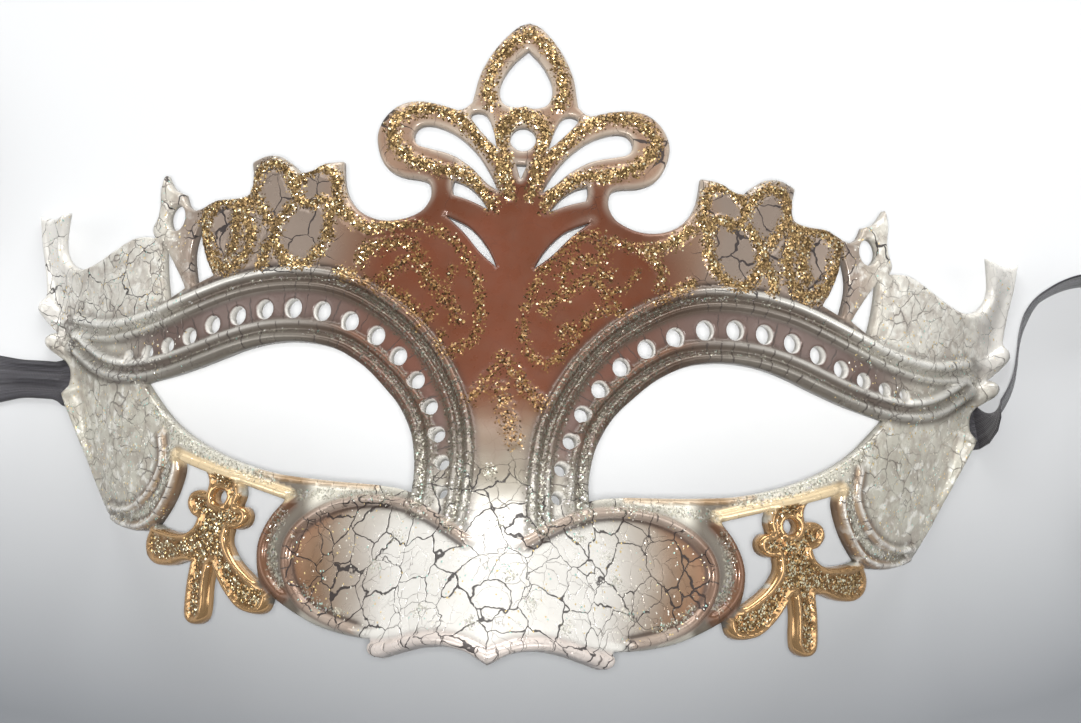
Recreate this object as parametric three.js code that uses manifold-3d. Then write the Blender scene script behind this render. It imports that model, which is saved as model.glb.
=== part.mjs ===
// Venetian style half mask of moulded plastic with two ribbon ties, lying face up.
//
// Millimetres, +Z up. The mask lies on the edges of its two temples, its face up, its crown
// towards +Y and its chin towards -Y. The outline and the ornament are drawn in plan for the
// right half, seen from the front, and are mirrored to the left half.

import * as THREE from "three";
import { mergeVertices } from "three/addons/utils/BufferGeometryUtils.js";
import Module from "manifold-3d";

const wasm = await Module();
wasm.setup();

// Driving dimensions of the shell
const SHELL_THICKNESS = 2.0;
const BROW_HEIGHT = 46.5;       // the brow's front above the table
const SIDE_REACH = 84.0;        // half width of the wrapped section at the eyes
const SIDE_TAPER = 0.33;        // the section narrows towards the chin
const WRAP_DEPTH = 80.0;        // depth of the section's quarter ellipse
const FACE_BOW = 0.00025;       // the face falls away above and below the eyes
const CROWN_LEAN = 0.0005;      // the crown leans back
const CROWN_LEAN_START = 15.0;
const NOSE_RISE = 20.0;
const NOSE_WIDTH = 20.0;
const NOSE_TOP = -16.0;
const NOSE_BLEND = 10.0;
const FLARE = 1.0;              // the temple edges turn outwards and lie flat on the table
const FOOT_CUT = 0.3;          // how much of the flared edges is planed off flat

// Driving dimensions of the ornament
const RAIL_HALF_WIDTH = 1.9;
const RAIL_HEIGHT = 0.9;
const RAIL_GROOVE = 0.3;        // height of the groove between a rail's two ridges
const BEAD_HALF_WIDTH = 0.9;
const BEAD_HEIGHT = 0.75;
const RIM_HALF_WIDTH = 1.15;
const RIM_HEIGHT = 1.0;
const ROOT_DEPTH = 0.7;         // how deep raised work is rooted in the shell
const LIP_RADIUS = 1.25;
const LIP_SINK = 0.6;
const LIP_SIDES = 6;
const END_TAPER = 0.4;          // width of a rail's pointed ends, as a share of its middle
const DOT_COUNT = 17;
const DOT_SIDES = 6;
const DOT_RADIUS = [1.3, 1.5];
const DOT_SMALLEST = 0.6;       // the row's end dots, as a share of the middle ones

// Driving dimensions of the ribbons
const RIBBON_WIDTH = 9.0;
const RIBBON_THICKNESS = 0.4;
const RIBBON_LIFT = 0.05;
const RIBBON_CUTS = 2;          // cross sections for each stretch of a ribbon's route
const GLUED_FROM = 73.5;        // the ribbon's inner end, glued under the temple's margin
const TOUCH_GAP = 0.3;
const RECESS_MIDDLE = 7.4;
const ROLL_OUTER = 32.5;
const ROLL_INNER = 22.0;
const ROLL_SIDES = 24;

// Fineness of the faceted surfaces
const OUTLINE_STEP = 3.3;
const HOLE_STEP = 3.0;
const BEAD_STEP = 6.0;
const GRID_STEP = 6.0;
const GRID_STEP_SIDE = 2.4;     // across the bend where the temples meet the table
const GRID_SIDE_START = 66.0;
const GRID_STEP_UP = 9.0;       // from chin to crown

// The mask's box in plan: the drawing's origin is between the eyes, the part's is its middle.
const CROWN_TIP = 62.4;
const NOSE_END = -44.7;
const LIP_OVERHANG = 0.5;
const PLAN_SHIFT = -(CROWN_TIP + NOSE_END - LIP_OVERHANG) / 2;

const colours = {
  pearl: new THREE.MeshStandardMaterial({ color: 0xc9c3b6, roughness: 0.38, metalness: 0.25 }),
  ribbon: new THREE.MeshStandardMaterial({ color: 0x232326, roughness: 0.45, metalness: 0.0 }),
};

// The shell's form

function frontHeight(x, y) {
  const reach = SIDE_REACH + SIDE_TAPER * y;
  const share = Math.min(Math.abs(x) / reach, 0.985);
  const wrap = WRAP_DEPTH * (1 - Math.sqrt(1 - share * share));
  const nose = NOSE_RISE * Math.exp(-((x / NOSE_WIDTH) ** 2)) / (1 + Math.exp((y - NOSE_TOP) / NOSE_BLEND));
  const lean = CROWN_LEAN * Math.max(y - CROWN_LEAN_START, 0) ** 2;
  const free = BROW_HEIGHT - wrap + nose - lean - FACE_BOW * y * y;
  const foot = SHELL_THICKNESS - FOOT_CUT;
  return foot + FLARE * Math.log(1 + Math.exp((free - foot) / FLARE));
}

function frontPoint(x, y) {
  return new THREE.Vector3(x, y, frontHeight(x, y));
}

function frontNormal(x, y) {
  const h = 0.1;
  const slopeX = (frontHeight(x + h, y) - frontHeight(x - h, y)) / (2 * h);
  const slopeY = (frontHeight(x, y + h) - frontHeight(x, y - h)) / (2 * h);
  return new THREE.Vector3(-slopeX, -slopeY, 1).normalize();
}

// Plan drawing of the right half: each line is one smooth stretch, and they meet at corners.

const OUTLINE = [
  // crown loop and the upper arm
  [[0, 62.4], [2.1, 61.5], [5.2, 58], [7.5, 53.6], [8.4, 49.6], [8.7, 48.2]],
  [[8.7, 48.2], [10.6, 46.9], [13.7, 47.7], [16.8, 48.3], [19.9, 47.9], [22.4, 46.1], [23.8, 43.4],
    [23.8, 40.8], [22.8, 38.0], [21.3, 36.3], [19, 35.3], [16.4, 34.9], [14.9, 34.3], [14.4, 32.8],
    [14.7, 31.2], [16.1, 29.4], [19.3, 28.1], [22.6, 28.1], [25.6, 29.3], [27.8, 31.6], [28.9, 34.4],
    [29.3, 38]],
  // stepped hump
  [[29.3, 38], [32, 37.8], [34.6, 36.5], [36.4, 36.3]],
  [[36.4, 36.3], [37.9, 37.8], [40.1, 39.3], [42.4, 39.6], [45, 38.6]],
  [[45, 38.6], [44.6, 36.4], [44.5, 34.4], [45.5, 32.9], [47.8, 32.6], [50.6, 32.6], [52.6, 31.8],
    [54.6, 31.3]],
  // stem with its spike
  [[54.6, 31.3], [56.2, 32.2], [57.1, 34.3]],
  [[57.1, 34.3], [58.5, 35], [59.6, 35.9], [60.8, 38]],
  [[60.8, 38], [61.4, 35.5], [61.3, 33], [61.6, 31], [62.4, 29], [61.9, 27.5]],
  // side panel's top edge and its end spike
  [[61.9, 27.5], [63.6, 28.0], [66, 28.1], [69.1, 27.1], [71.8, 26], [74.8, 25.2], [77.4, 25.2],
    [79.8, 26.3], [81.5, 28.3], [82.1, 31], [81.3, 35.6]],
  [[81.3, 35.6], [84, 35.4], [86.8, 36.6]],
  // temple edge with two lobes and the ribbon's notch
  [[86.8, 36.6], [86.1, 32], [85.2, 28], [84.5, 24.3], [84.4, 22.2], [85.4, 21.1], [85.5, 19.6],
    [83.6, 17.4], [81.8, 15.7]],
  [[81.8, 15.7], [83.1, 15.4], [83.9, 14.4], [83.4, 13.1], [81.6, 11.8], [80, 10.7]],
  [[80, 10.7], [79.2, 9.4], [78.9, 7.6], [79.2, 5.9], [80.2, 4.9]],
  [[80.2, 4.9], [79.5, 3.2], [78.4, 1], [76.8, -2.3], [74.6, -6.8], [73, -10.4], [71.2, -14],
    [69.8, -16.4]],
  // cheek lobe and the pendant's right arm
  [[69.8, -16.4], [67.9, -18.3], [65, -19.8], [62.2, -20.5], [59.8, -20.8]],
  [[59.8, -20.8], [60.4, -22.6], [60, -24.8], [58.3, -26.4], [55.6, -26.9], [53, -26.5], [51.3, -26.7]],
  [[51.3, -26.7], [51.9, -30.5], [52.1, -34.6], [51.5, -36.2], [50.1, -36.8], [48.7, -36.1],
    [48.2, -34.4], [48, -30.4], [47.4, -27.2]],
  [[47.4, -27.2], [46.6, -29], [44.9, -31.8], [42.3, -34.6], [39.4, -35.7], [37.5, -35.2], [36.6, -33]],
  // nose oval's underside and the mouth edge
  [[36.6, -33], [33.2, -35.3], [28.9, -37.7], [24, -39.4], [19.1, -40.5]],
  [[19.1, -40.5], [18.8, -42.2], [17.9, -43.3], [14.9, -42.7], [11.1, -42], [7.2, -42], [3.8, -42.8],
    [1.4, -44], [0, -44.7]],
];

// Holes that lie wholly in one half
const HALF_HOLES = {
  eye: [
    [[13.9, -17.4], [13.5, -15.3], [13.7, -12.3], [14.4, -9], [15.6, -5.8], [17.4, -2.6], [20, 0.4],
      [22.9, 3.3], [25.7, 5.3], [28.8, 6.9], [32.3, 7.8], [36.2, 8.2], [40.3, 8], [44.5, 7.2],
      [48.6, 6], [52.8, 4.9], [57, 4.1], [62.6, 3.5]],
    [[62.6, 3.5], [60.2, 0.4], [57.4, -2.8], [54.1, -5.6], [50.2, -8.1], [45.8, -10.3], [41.1, -12.1],
      [36.4, -13.4], [31.2, -14.3], [25.6, -15.1], [20.4, -15.8], [16.6, -16.5], [13.9, -17.4]],
  ],
  side_leaf: [
    [[4.2, 40.6], [5.5, 41.7], [7.6, 44], [8.8, 45.9], [7.7, 46.6], [6.2, 46.1], [5.1, 44], [4.2, 40.6]],
  ],
  arm_leaf: [
    [[3.5, 33.2], [5.2, 36.5], [7.6, 39.8], [10.9, 42.6], [14.5, 44.1], [16.9, 44], [17.9, 42.5],
      [17.2, 40.8], [15.1, 40.1], [11.5, 39.1], [8.2, 37.1], [5.6, 34.6], [3.5, 33.2]],
  ],
  lower_leaf: [
    [[4.9, 30], [6.6, 32.3], [8.7, 34], [10.8, 34.8]],
    [[10.8, 34.8], [11, 33.6], [10.7, 32.3]],
    [[10.7, 32.3], [7.9, 31.4], [4.9, 30]],
  ],
  crescent: [
    [[3, 20.4], [4.6, 23.5], [7.6, 26.8], [11.8, 28.9]],
    [[11.8, 28.9], [8.6, 26], [5.8, 22.8], [3, 20.4]],
  ],
  inner_slit: [
    [[53, 29.7], [54.2, 26.8], [54.7, 23.4], [53.9, 18.7]],
    [[53.9, 18.7], [50.4, 20]],
    [[50.4, 20], [51.8, 23.2], [52.7, 26.3], [53, 29.7]],
  ],
  outer_slit: [
    [[60.2, 26.2], [58.5, 23.8], [56.4, 20.2], [55.5, 18.4]],
    [[55.5, 18.4], [59, 16.6]],
    [[59, 16.6], [59.6, 19.5], [60, 22.9], [60.2, 26.2]],
  ],
  pendant_gap_inner: [
    [[35.1, -17.6], [38, -16.5], [41.1, -15.3], [43, -14.5]],
    [[43, -14.5], [42.6, -16.3], [43.2, -18.2]],
    [[43.2, -18.2], [41.9, -18.6], [41.2, -19.9], [41.7, -21.4], [43.2, -22], [44.4, -21.7]],
    [[44.4, -21.7], [44.7, -24], [43.1, -26.9], [40.6, -29.4], [38.7, -30.8]],
    [[38.7, -30.8], [39.3, -28], [39.4, -25.5], [38.7, -22.6], [37.1, -19.9], [35.1, -17.6]],
  ],
  pendant_gap_outer: [
    [[49, -12.4], [51.5, -11.3], [54.6, -9.8]],
    [[54.6, -9.8], [54.4, -11.5], [54.8, -13.3], [55.8, -15.7], [57.3, -18], [59, -19.9]],
    [[59, -19.9], [57.5, -20.8], [55.2, -21.6], [52.9, -21.9], [51.2, -21.2], [50.3, -19.7]],
    [[50.3, -19.7], [51.5, -18.9], [52.3, -17.3], [51.9, -15.7], [50.5, -15.1], [48.8, -15.6]],
    [[48.8, -15.6], [48.5, -14], [49, -12.4]],
  ],
};
const STEM_HOLE = { centre: [58, 30.4], radii: [1.7, 2.2] };
const PENDANT_HOLE = { centre: [46.4, -16.6], radii: [1.25, 1.25] };

// Holes across the middle line, drawn as their right half from top to bottom
const SPADE_HOLE = [[[0, 57.7], [2.4, 55.2], [4, 52.3], [4.3, 50], [3.5, 48.1], [1.4, 47.5], [0, 47.9]]];
const CROWN_HOLE = { centre: [0, 42.2], radii: [2.1, 2.1] };
const CROWN_TRIANGLE = [[-0.9, 37.9], [0, 35.3], [0.9, 37.9]];

// Raised work of the right half
const UPPER_RAIL = [[6.5, -22.5], [6.2, -16.4], [6.4, -10.3], [7.3, -5.1], [9.2, 0], [12, 4.9],
  [15.8, 9.5], [20.4, 13.2], [25.5, 16.2], [30.6, 17.9], [35.7, 18.5], [40.8, 18.4], [45.9, 17.7],
  [51, 16.4], [56.2, 14.9], [61.4, 13.6], [66.6, 13.1], [71.9, 13.7], [77.7, 16]];
const LOWER_RAIL = [[12.5, -19.9], [12.1, -16.3], [12.4, -11.2], [13.2, -7.1], [14.6, -3.6],
  [16.8, -0.3], [19.7, 2.9], [23, 5.7], [26.5, 7.9], [30.6, 9.2], [35.7, 9.8], [40.8, 9.7],
  [46, 8.8], [51.2, 7.4], [56.4, 6.2], [61.6, 5.7], [66.9, 6.3], [72.3, 8.6], [77.2, 12.8]];
const DOT_ROW = [[9.1, -17.6], [9.4, -12.2], [10.6, -7.4], [12.3, -2.7], [14.9, 1.7], [18.2, 5.7],
  [22.1, 9], [26.6, 11.3], [31.3, 13], [36.1, 13.6], [40.9, 13.6], [45.4, 12.9], [49.7, 11.8],
  [53.7, 10.3], [57.7, 9.2], [61.7, 8.5], [65.7, 8.4]];
const OVAL_RIM = [[4.5, -25.6], [7.7, -23.3], [10.7, -21.3], [14.3, -19.5], [18.4, -18.5],
  [22.5, -18.3], [26.6, -19], [30.2, -20.6], [32.8, -22.9], [34, -25.6], [33.8, -28.7],
  [32.4, -31.6], [29.8, -34.2], [26, -36.3], [21.5, -38]];
const FRAME_BEAD = [[34, -18.1], [36.3, -20.4], [37.8, -23], [38.4, -25.6], [38, -28.4], [36.6, -30.9],
  [34.4, -33]];
const LOWER_BAR = [[55.3, -9], [48, -12.2], [41.1, -14.6], [34.5, -17]];
const LOBE_INNER = [[58.2, -5.6], [57.8, -9.4], [58.9, -12.5], [61, -15], [63.8, -16.3], [66.6, -16.3],
  [69, -15.3]];
const LOBE_OUTER = [[55.2, -9], [55.2, -11.5], [56.1, -14.6], [58, -17.5], [60.3, -19.3], [63, -19.5],
  [65.9, -18.6], [68.2, -17.1]];
const MOUTH_LIP = [[18.3, -42.2], [14.9, -42.1], [11.1, -41.4], [7.2, -41.4], [3.8, -42.2], [0, -43.9]];

// Lines of the ribbons on the table, from the glued end outwards, up to the rolled up rest.
// Each turns from lying flat to standing on edge between its two turning points.
const RIBBON_LEFT = {
  route: [[-GLUED_FROM, 7], [-80, 7.2], [-86, 7.3], [-92, 7], [-100, 6.5], [-110, 6.3], [-120, 6.5],
    [-134, 6.9]],
  turns: [[-100, 0], [-122, 90]],
};
const RIBBON_RIGHT = {
  route: [[GLUED_FROM, 7.7], [77, 7.7], [79.4, 7.8], [81.6, 8.5], [83.4, 10.1], [84.8, 12.5], [85.8, 15.4],
    [86.3, 18.8], [86.6, 22.4], [87.6, 26.2], [90.1, 30], [94.4, 32.7], [99, 33.8], [108, 34.3], [120, 34.2],
    [134, 34.1]],
  turns: [[79.3, 0], [83.8, -98], [87.2, -98], [91, -90]],
};
const ROLL_REACH = ROLL_OUTER + TOUCH_GAP + RIBBON_THICKNESS / 2;
const ROLL_LEFT_CENTRE = [-134, 6.9 + ROLL_REACH];
const ROLL_RIGHT_CENTRE = [134, 34.1 - ROLL_REACH];

// Helpers for curves and shapes

function smooth(points, step) {
  const curve = new THREE.SplineCurve(points.map(([x, y]) => new THREE.Vector2(x, y)));
  const pieces = Math.max(1, Math.round(curve.getLength() / step));
  return curve.getSpacedPoints(pieces);
}

function joinStretches(stretches, step) {
  const path = [];
  for (const points of stretches) {
    path.push(...smooth(points, step).slice(0, -1));
  }
  return path;
}

function mirrored(path) {
  return path.map((p) => new THREE.Vector2(-p.x, p.y)).reverse();
}

function ellipse({ centre, radii }, side, sides) {
  const path = [];
  for (let i = 0; i < sides; i += 1) {
    const turn = (i / sides) * 2 * Math.PI;
    path.push(new THREE.Vector2(side * centre[0] + radii[0] * Math.cos(turn), centre[1] + radii[1] * Math.sin(turn)));
  }
  return path;
}

// A right half drawn from the top of the middle line to its foot becomes a whole closed outline.
function wholeOutline(stretches, step) {
  const half = joinStretches(stretches, step);
  const last = stretches.at(-1).at(-1);
  half.push(new THREE.Vector2(last[0], last[1]));
  return [...half, ...mirrored(half).slice(1, -1)];
}

// Helpers for solids

function toSolid(geometry) {
  const bare = geometry.clone();
  bare.deleteAttribute("normal");
  bare.deleteAttribute("uv");
  const merged = mergeVertices(bare, 1e-5);
  return new wasm.Manifold(new wasm.Mesh({
    numProp: 3,
    vertProperties: new Float32Array(merged.attributes.position.array),
    triVerts: new Uint32Array(merged.index.array),
  }));
}

function toGeometry(solid) {
  const mesh = solid.getMesh();
  const geometry = new THREE.BufferGeometry();
  geometry.setAttribute("position", new THREE.Float32BufferAttribute(mesh.vertProperties, mesh.numProp));
  geometry.setIndex(Array.from(mesh.triVerts));
  geometry.computeVertexNormals();
  return geometry;
}

function prism(path, low, high) {
  const shape = new THREE.Shape(path);
  const geometry = new THREE.ExtrudeGeometry(shape, { depth: high - low, bevelEnabled: false, steps: 1 });
  geometry.translate(0, 0, low);
  return toSolid(geometry);
}

// A section, given as offsets to the side and above the front, carried along a plan line
function sweepOnFront(line, side, section, endShare) {
  const path = smooth(line, BEAD_STEP).map((p) => new THREE.Vector2(side * p.x, p.y));
  const positions = [];
  path.forEach((p, i) => {
    const before = path[Math.max(i - 1, 0)];
    const after = path[Math.min(i + 1, path.length - 1)];
    const along = frontPoint(after.x, after.y).sub(frontPoint(before.x, before.y)).normalize();
    const up = frontNormal(p.x, p.y);
    const across = new THREE.Vector3().crossVectors(along, up).normalize();
    const share = i === 0 || i === path.length - 1 ? endShare : 1;
    for (const [sideways, above] of section) {
      const point = frontPoint(p.x, p.y).addScaledVector(across, sideways * share).addScaledVector(up, above);
      positions.push(point.x, point.y, point.z);
    }
  });
  const count = section.length;
  const indices = [];
  for (let i = 0; i < path.length - 1; i += 1) {
    for (let k = 0; k < count; k += 1) {
      const a = i * count + k;
      const b = i * count + ((k + 1) % count);
      indices.push(a, a + count, b, b, a + count, b + count);
    }
  }
  const caps = THREE.ShapeUtils.triangulateShape(section.map(([u, v]) => new THREE.Vector2(u, v)), []);
  const last = (path.length - 1) * count;
  for (const [a, b, c] of caps) {
    indices.push(a, b, c, last + a, last + c, last + b);
  }
  const geometry = new THREE.BufferGeometry();
  geometry.setAttribute("position", new THREE.Float32BufferAttribute(positions, 3));
  geometry.setIndex(indices);
  return toSolid(geometry);
}

function ridgeSection(halfWidth, height) {
  return [[-halfWidth, -ROOT_DEPTH], [halfWidth, -ROOT_DEPTH], [halfWidth * 0.75, height * 0.6], [0, height],
    [-halfWidth * 0.75, height * 0.6]];
}

function doubleRidgeSection(halfWidth, height, groove) {
  return [[-halfWidth, -ROOT_DEPTH], [halfWidth, -ROOT_DEPTH], [halfWidth * 0.9, height * 0.5],
    [halfWidth * 0.5, height], [0, groove], [-halfWidth * 0.5, height], [-halfWidth * 0.9, height * 0.5]];
}

function mouthLip() {
  const right = smooth(MOUTH_LIP, BEAD_STEP);
  const path = [...right, ...right.slice(0, -1).reverse().map((p) => new THREE.Vector2(-p.x, p.y))];
  const points = path.map((p) => frontPoint(p.x, p.y).addScaledVector(frontNormal(p.x, p.y), -LIP_SINK));
  const curve = new THREE.CatmullRomCurve3(points, false, "centripetal");
  const section = new THREE.Shape(ellipse({ centre: [0, 0], radii: [LIP_RADIUS, LIP_RADIUS] }, 1, LIP_SIDES));
  const steps = Math.round(curve.getLength() / BEAD_STEP);
  return toSolid(new THREE.ExtrudeGeometry(section, { steps, extrudePath: curve, bevelEnabled: false }));
}

// The curved blank that the outline and the holes are cut from

function stations(limit) {
  const half = [0];
  while (half.at(-1) < limit) {
    half.push(half.at(-1) + (half.at(-1) < GRID_SIDE_START ? GRID_STEP : GRID_STEP_SIDE));
  }
  return [...half.slice(1).reverse().map((x) => -x), ...half];
}

function curvedBlank() {
  const xs = stations(91);
  const ys = [];
  for (let y = NOSE_END - 4; y < CROWN_TIP + GRID_STEP_UP + 2; y += GRID_STEP_UP) {
    ys.push(y);
  }
  const positions = [];
  const put = (p) => positions.push(p.x, p.y, p.z);
  for (const y of ys) {
    for (const x of xs) {
      put(frontPoint(x, y));
    }
  }
  for (const y of ys) {
    for (const x of xs) {
      put(frontPoint(x, y).addScaledVector(frontNormal(x, y), -SHELL_THICKNESS));
    }
  }
  const across = xs.length;
  const layer = across * ys.length;
  const indices = [];
  const quad = (a, b, c, d) => indices.push(a, b, c, a, c, d);
  for (let j = 0; j < ys.length - 1; j += 1) {
    for (let i = 0; i < across - 1; i += 1) {
      const a = j * across + i;
      const ring = [a, a + 1, a + 1 + across, a + across];
      if (xs[i] < 0) {
        ring.push(ring.shift());    // the diagonals mirror each other about the middle line
      }
      quad(...ring);
      quad(...ring.map((k) => k + layer).reverse());
    }
  }
  const lastRow = (ys.length - 1) * across;
  for (let i = 0; i < across - 1; i += 1) {
    quad(i, layer + i, layer + i + 1, i + 1);
    quad(lastRow + i, lastRow + i + 1, layer + lastRow + i + 1, layer + lastRow + i);
  }
  for (let j = 0; j < ys.length - 1; j += 1) {
    const a = j * across;
    const b = a + across - 1;
    quad(a, a + across, layer + a + across, layer + a);
    quad(b, layer + b, layer + b + across, b + across);
  }
  const geometry = new THREE.BufferGeometry();
  geometry.setAttribute("position", new THREE.Float32BufferAttribute(positions, 3));
  geometry.setIndex(indices);
  return toSolid(geometry);
}

function dotHoles(side) {
  const row = DOT_ROW.map(([x, y]) => frontPoint(x, y));
  const places = new THREE.CatmullRomCurve3(row, false, "centripetal").getSpacedPoints(DOT_COUNT - 1);
  return places.map((place, i) => {
    const middle = Math.sin((Math.PI * (i + 1.5)) / (DOT_COUNT + 2));
    const size = DOT_SMALLEST + (1 - DOT_SMALLEST) * middle;
    const radii = DOT_RADIUS.map((r) => r * size);
    return prism(ellipse({ centre: [place.x, place.y], radii }, side, DOT_SIDES), -5, 90);
  });
}

function raisedWork(side) {
  const rail = doubleRidgeSection(RAIL_HALF_WIDTH, RAIL_HEIGHT, RAIL_GROOVE);
  const bead = ridgeSection(BEAD_HALF_WIDTH, BEAD_HEIGHT);
  const rim = ridgeSection(RIM_HALF_WIDTH, RIM_HEIGHT);
  const rails = [UPPER_RAIL, LOWER_RAIL].map((line) => sweepOnFront(line, side, rail, END_TAPER));
  const beads = [FRAME_BEAD, LOWER_BAR, LOBE_INNER, LOBE_OUTER].map((line) => sweepOnFront(line, side, bead, 1));
  return [...rails, ...beads, sweepOnFront(OVAL_RIM, side, rim, 1)];
}

function maskShell() {
  let shell = curvedBlank();
  for (const side of [1, -1]) {
    for (const bead of raisedWork(side)) {
      shell = shell.add(bead);
    }
  }
  shell = shell.intersect(prism(wholeOutline(OUTLINE, OUTLINE_STEP), -5, 90));
  for (const side of [1, -1]) {
    for (const stretches of Object.values(HALF_HOLES)) {
      const path = joinStretches(stretches, HOLE_STEP);
      shell = shell.subtract(prism(side > 0 ? path : mirrored(path), -5, 90));
    }
    shell = shell.subtract(prism(ellipse(STEM_HOLE, side, 10), -5, 90));
    shell = shell.subtract(prism(ellipse(PENDANT_HOLE, side, 8), -5, 90));
    for (const dot of dotHoles(side)) {
      shell = shell.subtract(dot);
    }
  }
  shell = shell.add(mouthLip());
  shell = shell.subtract(prism(wholeOutline(SPADE_HOLE, HOLE_STEP), -5, 90));
  shell = shell.subtract(prism(ellipse(CROWN_HOLE, 1, 12), -5, 90));
  shell = shell.subtract(prism(CROWN_TRIANGLE.map(([x, y]) => new THREE.Vector2(x, y)), -5, 90));
  const underTable = new THREE.BoxGeometry(400, 400, 20);
  underTable.translate(0, 0, -10);
  shell = shell.subtract(toSolid(underTable));
  return toGeometry(shell.subtract(ribbonRecess(1)).subtract(ribbonRecess(-1)));
}

// Ribbons

function turned(x, turns) {
  let degrees = turns[0][1];
  for (let i = 1; i < turns.length; i += 1) {
    const [from, before] = turns[i - 1];
    const [to, after] = turns[i];
    degrees += (after - before) * THREE.MathUtils.smoothstep((x - from) / (to - from), 0, 1);
  }
  return THREE.MathUtils.degToRad(degrees);
}

function ribbonBand(ribbon) {
  const curve = new THREE.SplineCurve(ribbon.route.map(([x, y]) => new THREE.Vector2(x, y)));
  const path = curve.getPoints((ribbon.route.length - 1) * RIBBON_CUTS);
  const positions = [];
  path.forEach((p, i) => {
    const along = path[Math.min(i + 1, path.length - 1)].clone().sub(path[Math.max(i - 1, 0)]).normalize();
    const angle = turned(p.x, ribbon.turns);
    const flat = new THREE.Vector3(-along.y, along.x, 0);
    const up = new THREE.Vector3(0, 0, 1);
    const wide = flat.clone().multiplyScalar(Math.cos(angle)).addScaledVector(up, Math.sin(angle));
    const thick = flat.clone().multiplyScalar(-Math.sin(angle)).addScaledVector(up, Math.cos(angle));
    wide.multiplyScalar(RIBBON_WIDTH / 2);
    thick.multiplyScalar(RIBBON_THICKNESS / 2);
    const centre = new THREE.Vector3(p.x, p.y, Math.abs(wide.z) + Math.abs(thick.z) + RIBBON_LIFT);
    for (const [a, b] of [[-1, -1], [1, -1], [1, 1], [-1, 1]]) {
      const corner = centre.clone().addScaledVector(wide, a).addScaledVector(thick, b);
      positions.push(corner.x, corner.y, corner.z);
    }
  });
  const indices = [];
  for (let i = 0; i < path.length - 1; i += 1) {
    for (let k = 0; k < 4; k += 1) {
      const a = i * 4 + k;
      const b = i * 4 + ((k + 1) % 4);
      indices.push(a, b, a + 4, b, b + 4, a + 4);
    }
  }
  const last = (path.length - 1) * 4;
  indices.push(0, 2, 1, 0, 3, 2, last, last + 1, last + 2, last, last + 2, last + 3);
  const geometry = new THREE.BufferGeometry();
  geometry.setAttribute("position", new THREE.Float32BufferAttribute(positions, 3));
  geometry.setIndex(indices);
  return geometry;
}

function ribbonRecess(side) {
  const across = RIBBON_WIDTH / 2 + 1.5 * TOUCH_GAP;
  const height = RIBBON_LIFT + RIBBON_THICKNESS + TOUCH_GAP;
  const box = new THREE.BoxGeometry(20, 2 * across, 2 * height);
  box.translate(side * (GLUED_FROM - TOUCH_GAP + 10), RECESS_MIDDLE, 0);
  return toSolid(box);
}

function roll() {
  const profile = [
    [ROLL_INNER, 0], [ROLL_OUTER, 0], [ROLL_OUTER, RIBBON_WIDTH], [ROLL_INNER, RIBBON_WIDTH], [ROLL_INNER, 0],
  ].map(([r, z]) => new THREE.Vector2(r, z));
  const geometry = new THREE.LatheGeometry(profile, ROLL_SIDES);
  geometry.rotateX(Math.PI / 2);
  return geometry;
}

// The scene graph

function addMesh(group, name, geometry, material) {
  const mesh = new THREE.Mesh(geometry, material);
  mesh.name = name;
  group.add(mesh);
  return mesh;
}

const mask = new THREE.Group();
mask.position.set(0, PLAN_SHIFT, 0);
addMesh(mask, "mask_shell", maskShell(), colours.pearl);

addMesh(mask, "ribbon_left", ribbonBand(RIBBON_LEFT), colours.ribbon);
addMesh(mask, "ribbon_right", ribbonBand(RIBBON_RIGHT), colours.ribbon);
for (const [name, centre] of [["ribbon_left_roll", ROLL_LEFT_CENTRE], ["ribbon_right_roll", ROLL_RIGHT_CENTRE]]) {
  addMesh(mask, name, roll(), colours.ribbon).position.set(centre[0], centre[1], RIBBON_LIFT);
}

export default mask;
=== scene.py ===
"""Dresses the masquerade mask: its fine moulded surface, paint, crackle and glitter, and its satin ribbons.

Lengths in the tables are millimetres in plan, seen from the front, for the half with +X, as in the part.
"""
import math

import bpy
import numpy as np
from mathutils import Euler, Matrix, Vector, kdtree, noise
from mathutils.geometry import delaunay_2d_cdt


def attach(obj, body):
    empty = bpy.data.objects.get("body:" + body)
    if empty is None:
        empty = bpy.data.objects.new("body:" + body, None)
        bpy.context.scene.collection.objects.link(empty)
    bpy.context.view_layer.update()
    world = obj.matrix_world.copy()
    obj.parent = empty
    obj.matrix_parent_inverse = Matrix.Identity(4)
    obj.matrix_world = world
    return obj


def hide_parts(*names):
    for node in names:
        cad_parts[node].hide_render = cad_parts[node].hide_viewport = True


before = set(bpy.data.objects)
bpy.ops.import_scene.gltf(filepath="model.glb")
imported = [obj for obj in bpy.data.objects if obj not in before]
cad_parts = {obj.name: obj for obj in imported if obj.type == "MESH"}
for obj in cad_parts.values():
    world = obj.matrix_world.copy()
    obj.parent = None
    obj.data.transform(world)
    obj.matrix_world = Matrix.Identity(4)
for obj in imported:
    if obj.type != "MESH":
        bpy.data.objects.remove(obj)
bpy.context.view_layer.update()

MM = 0.001

# The shell's form, as in the part
SHELL_THICKNESS = 2.0
BROW_HEIGHT = 46.5
SIDE_REACH = 84.0
SIDE_TAPER = 0.33
WRAP_DEPTH = 80.0
FACE_BOW = 0.00025
CROWN_LEAN = 0.0005
CROWN_LEAN_START = 15.0
NOSE_RISE = 20.0
NOSE_WIDTH = 20.0
NOSE_TOP = -16.0
NOSE_BLEND = 10.0
FLARE = 1.0
FOOT_CUT = 0.3
CROWN_TIP = 62.4
NOSE_END = -44.7
LIP_OVERHANG = 0.5
PLAN_SHIFT = -(CROWN_TIP + NOSE_END - LIP_OVERHANG) / 2
RECESS_HALF = (5.2, 6.6)

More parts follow.
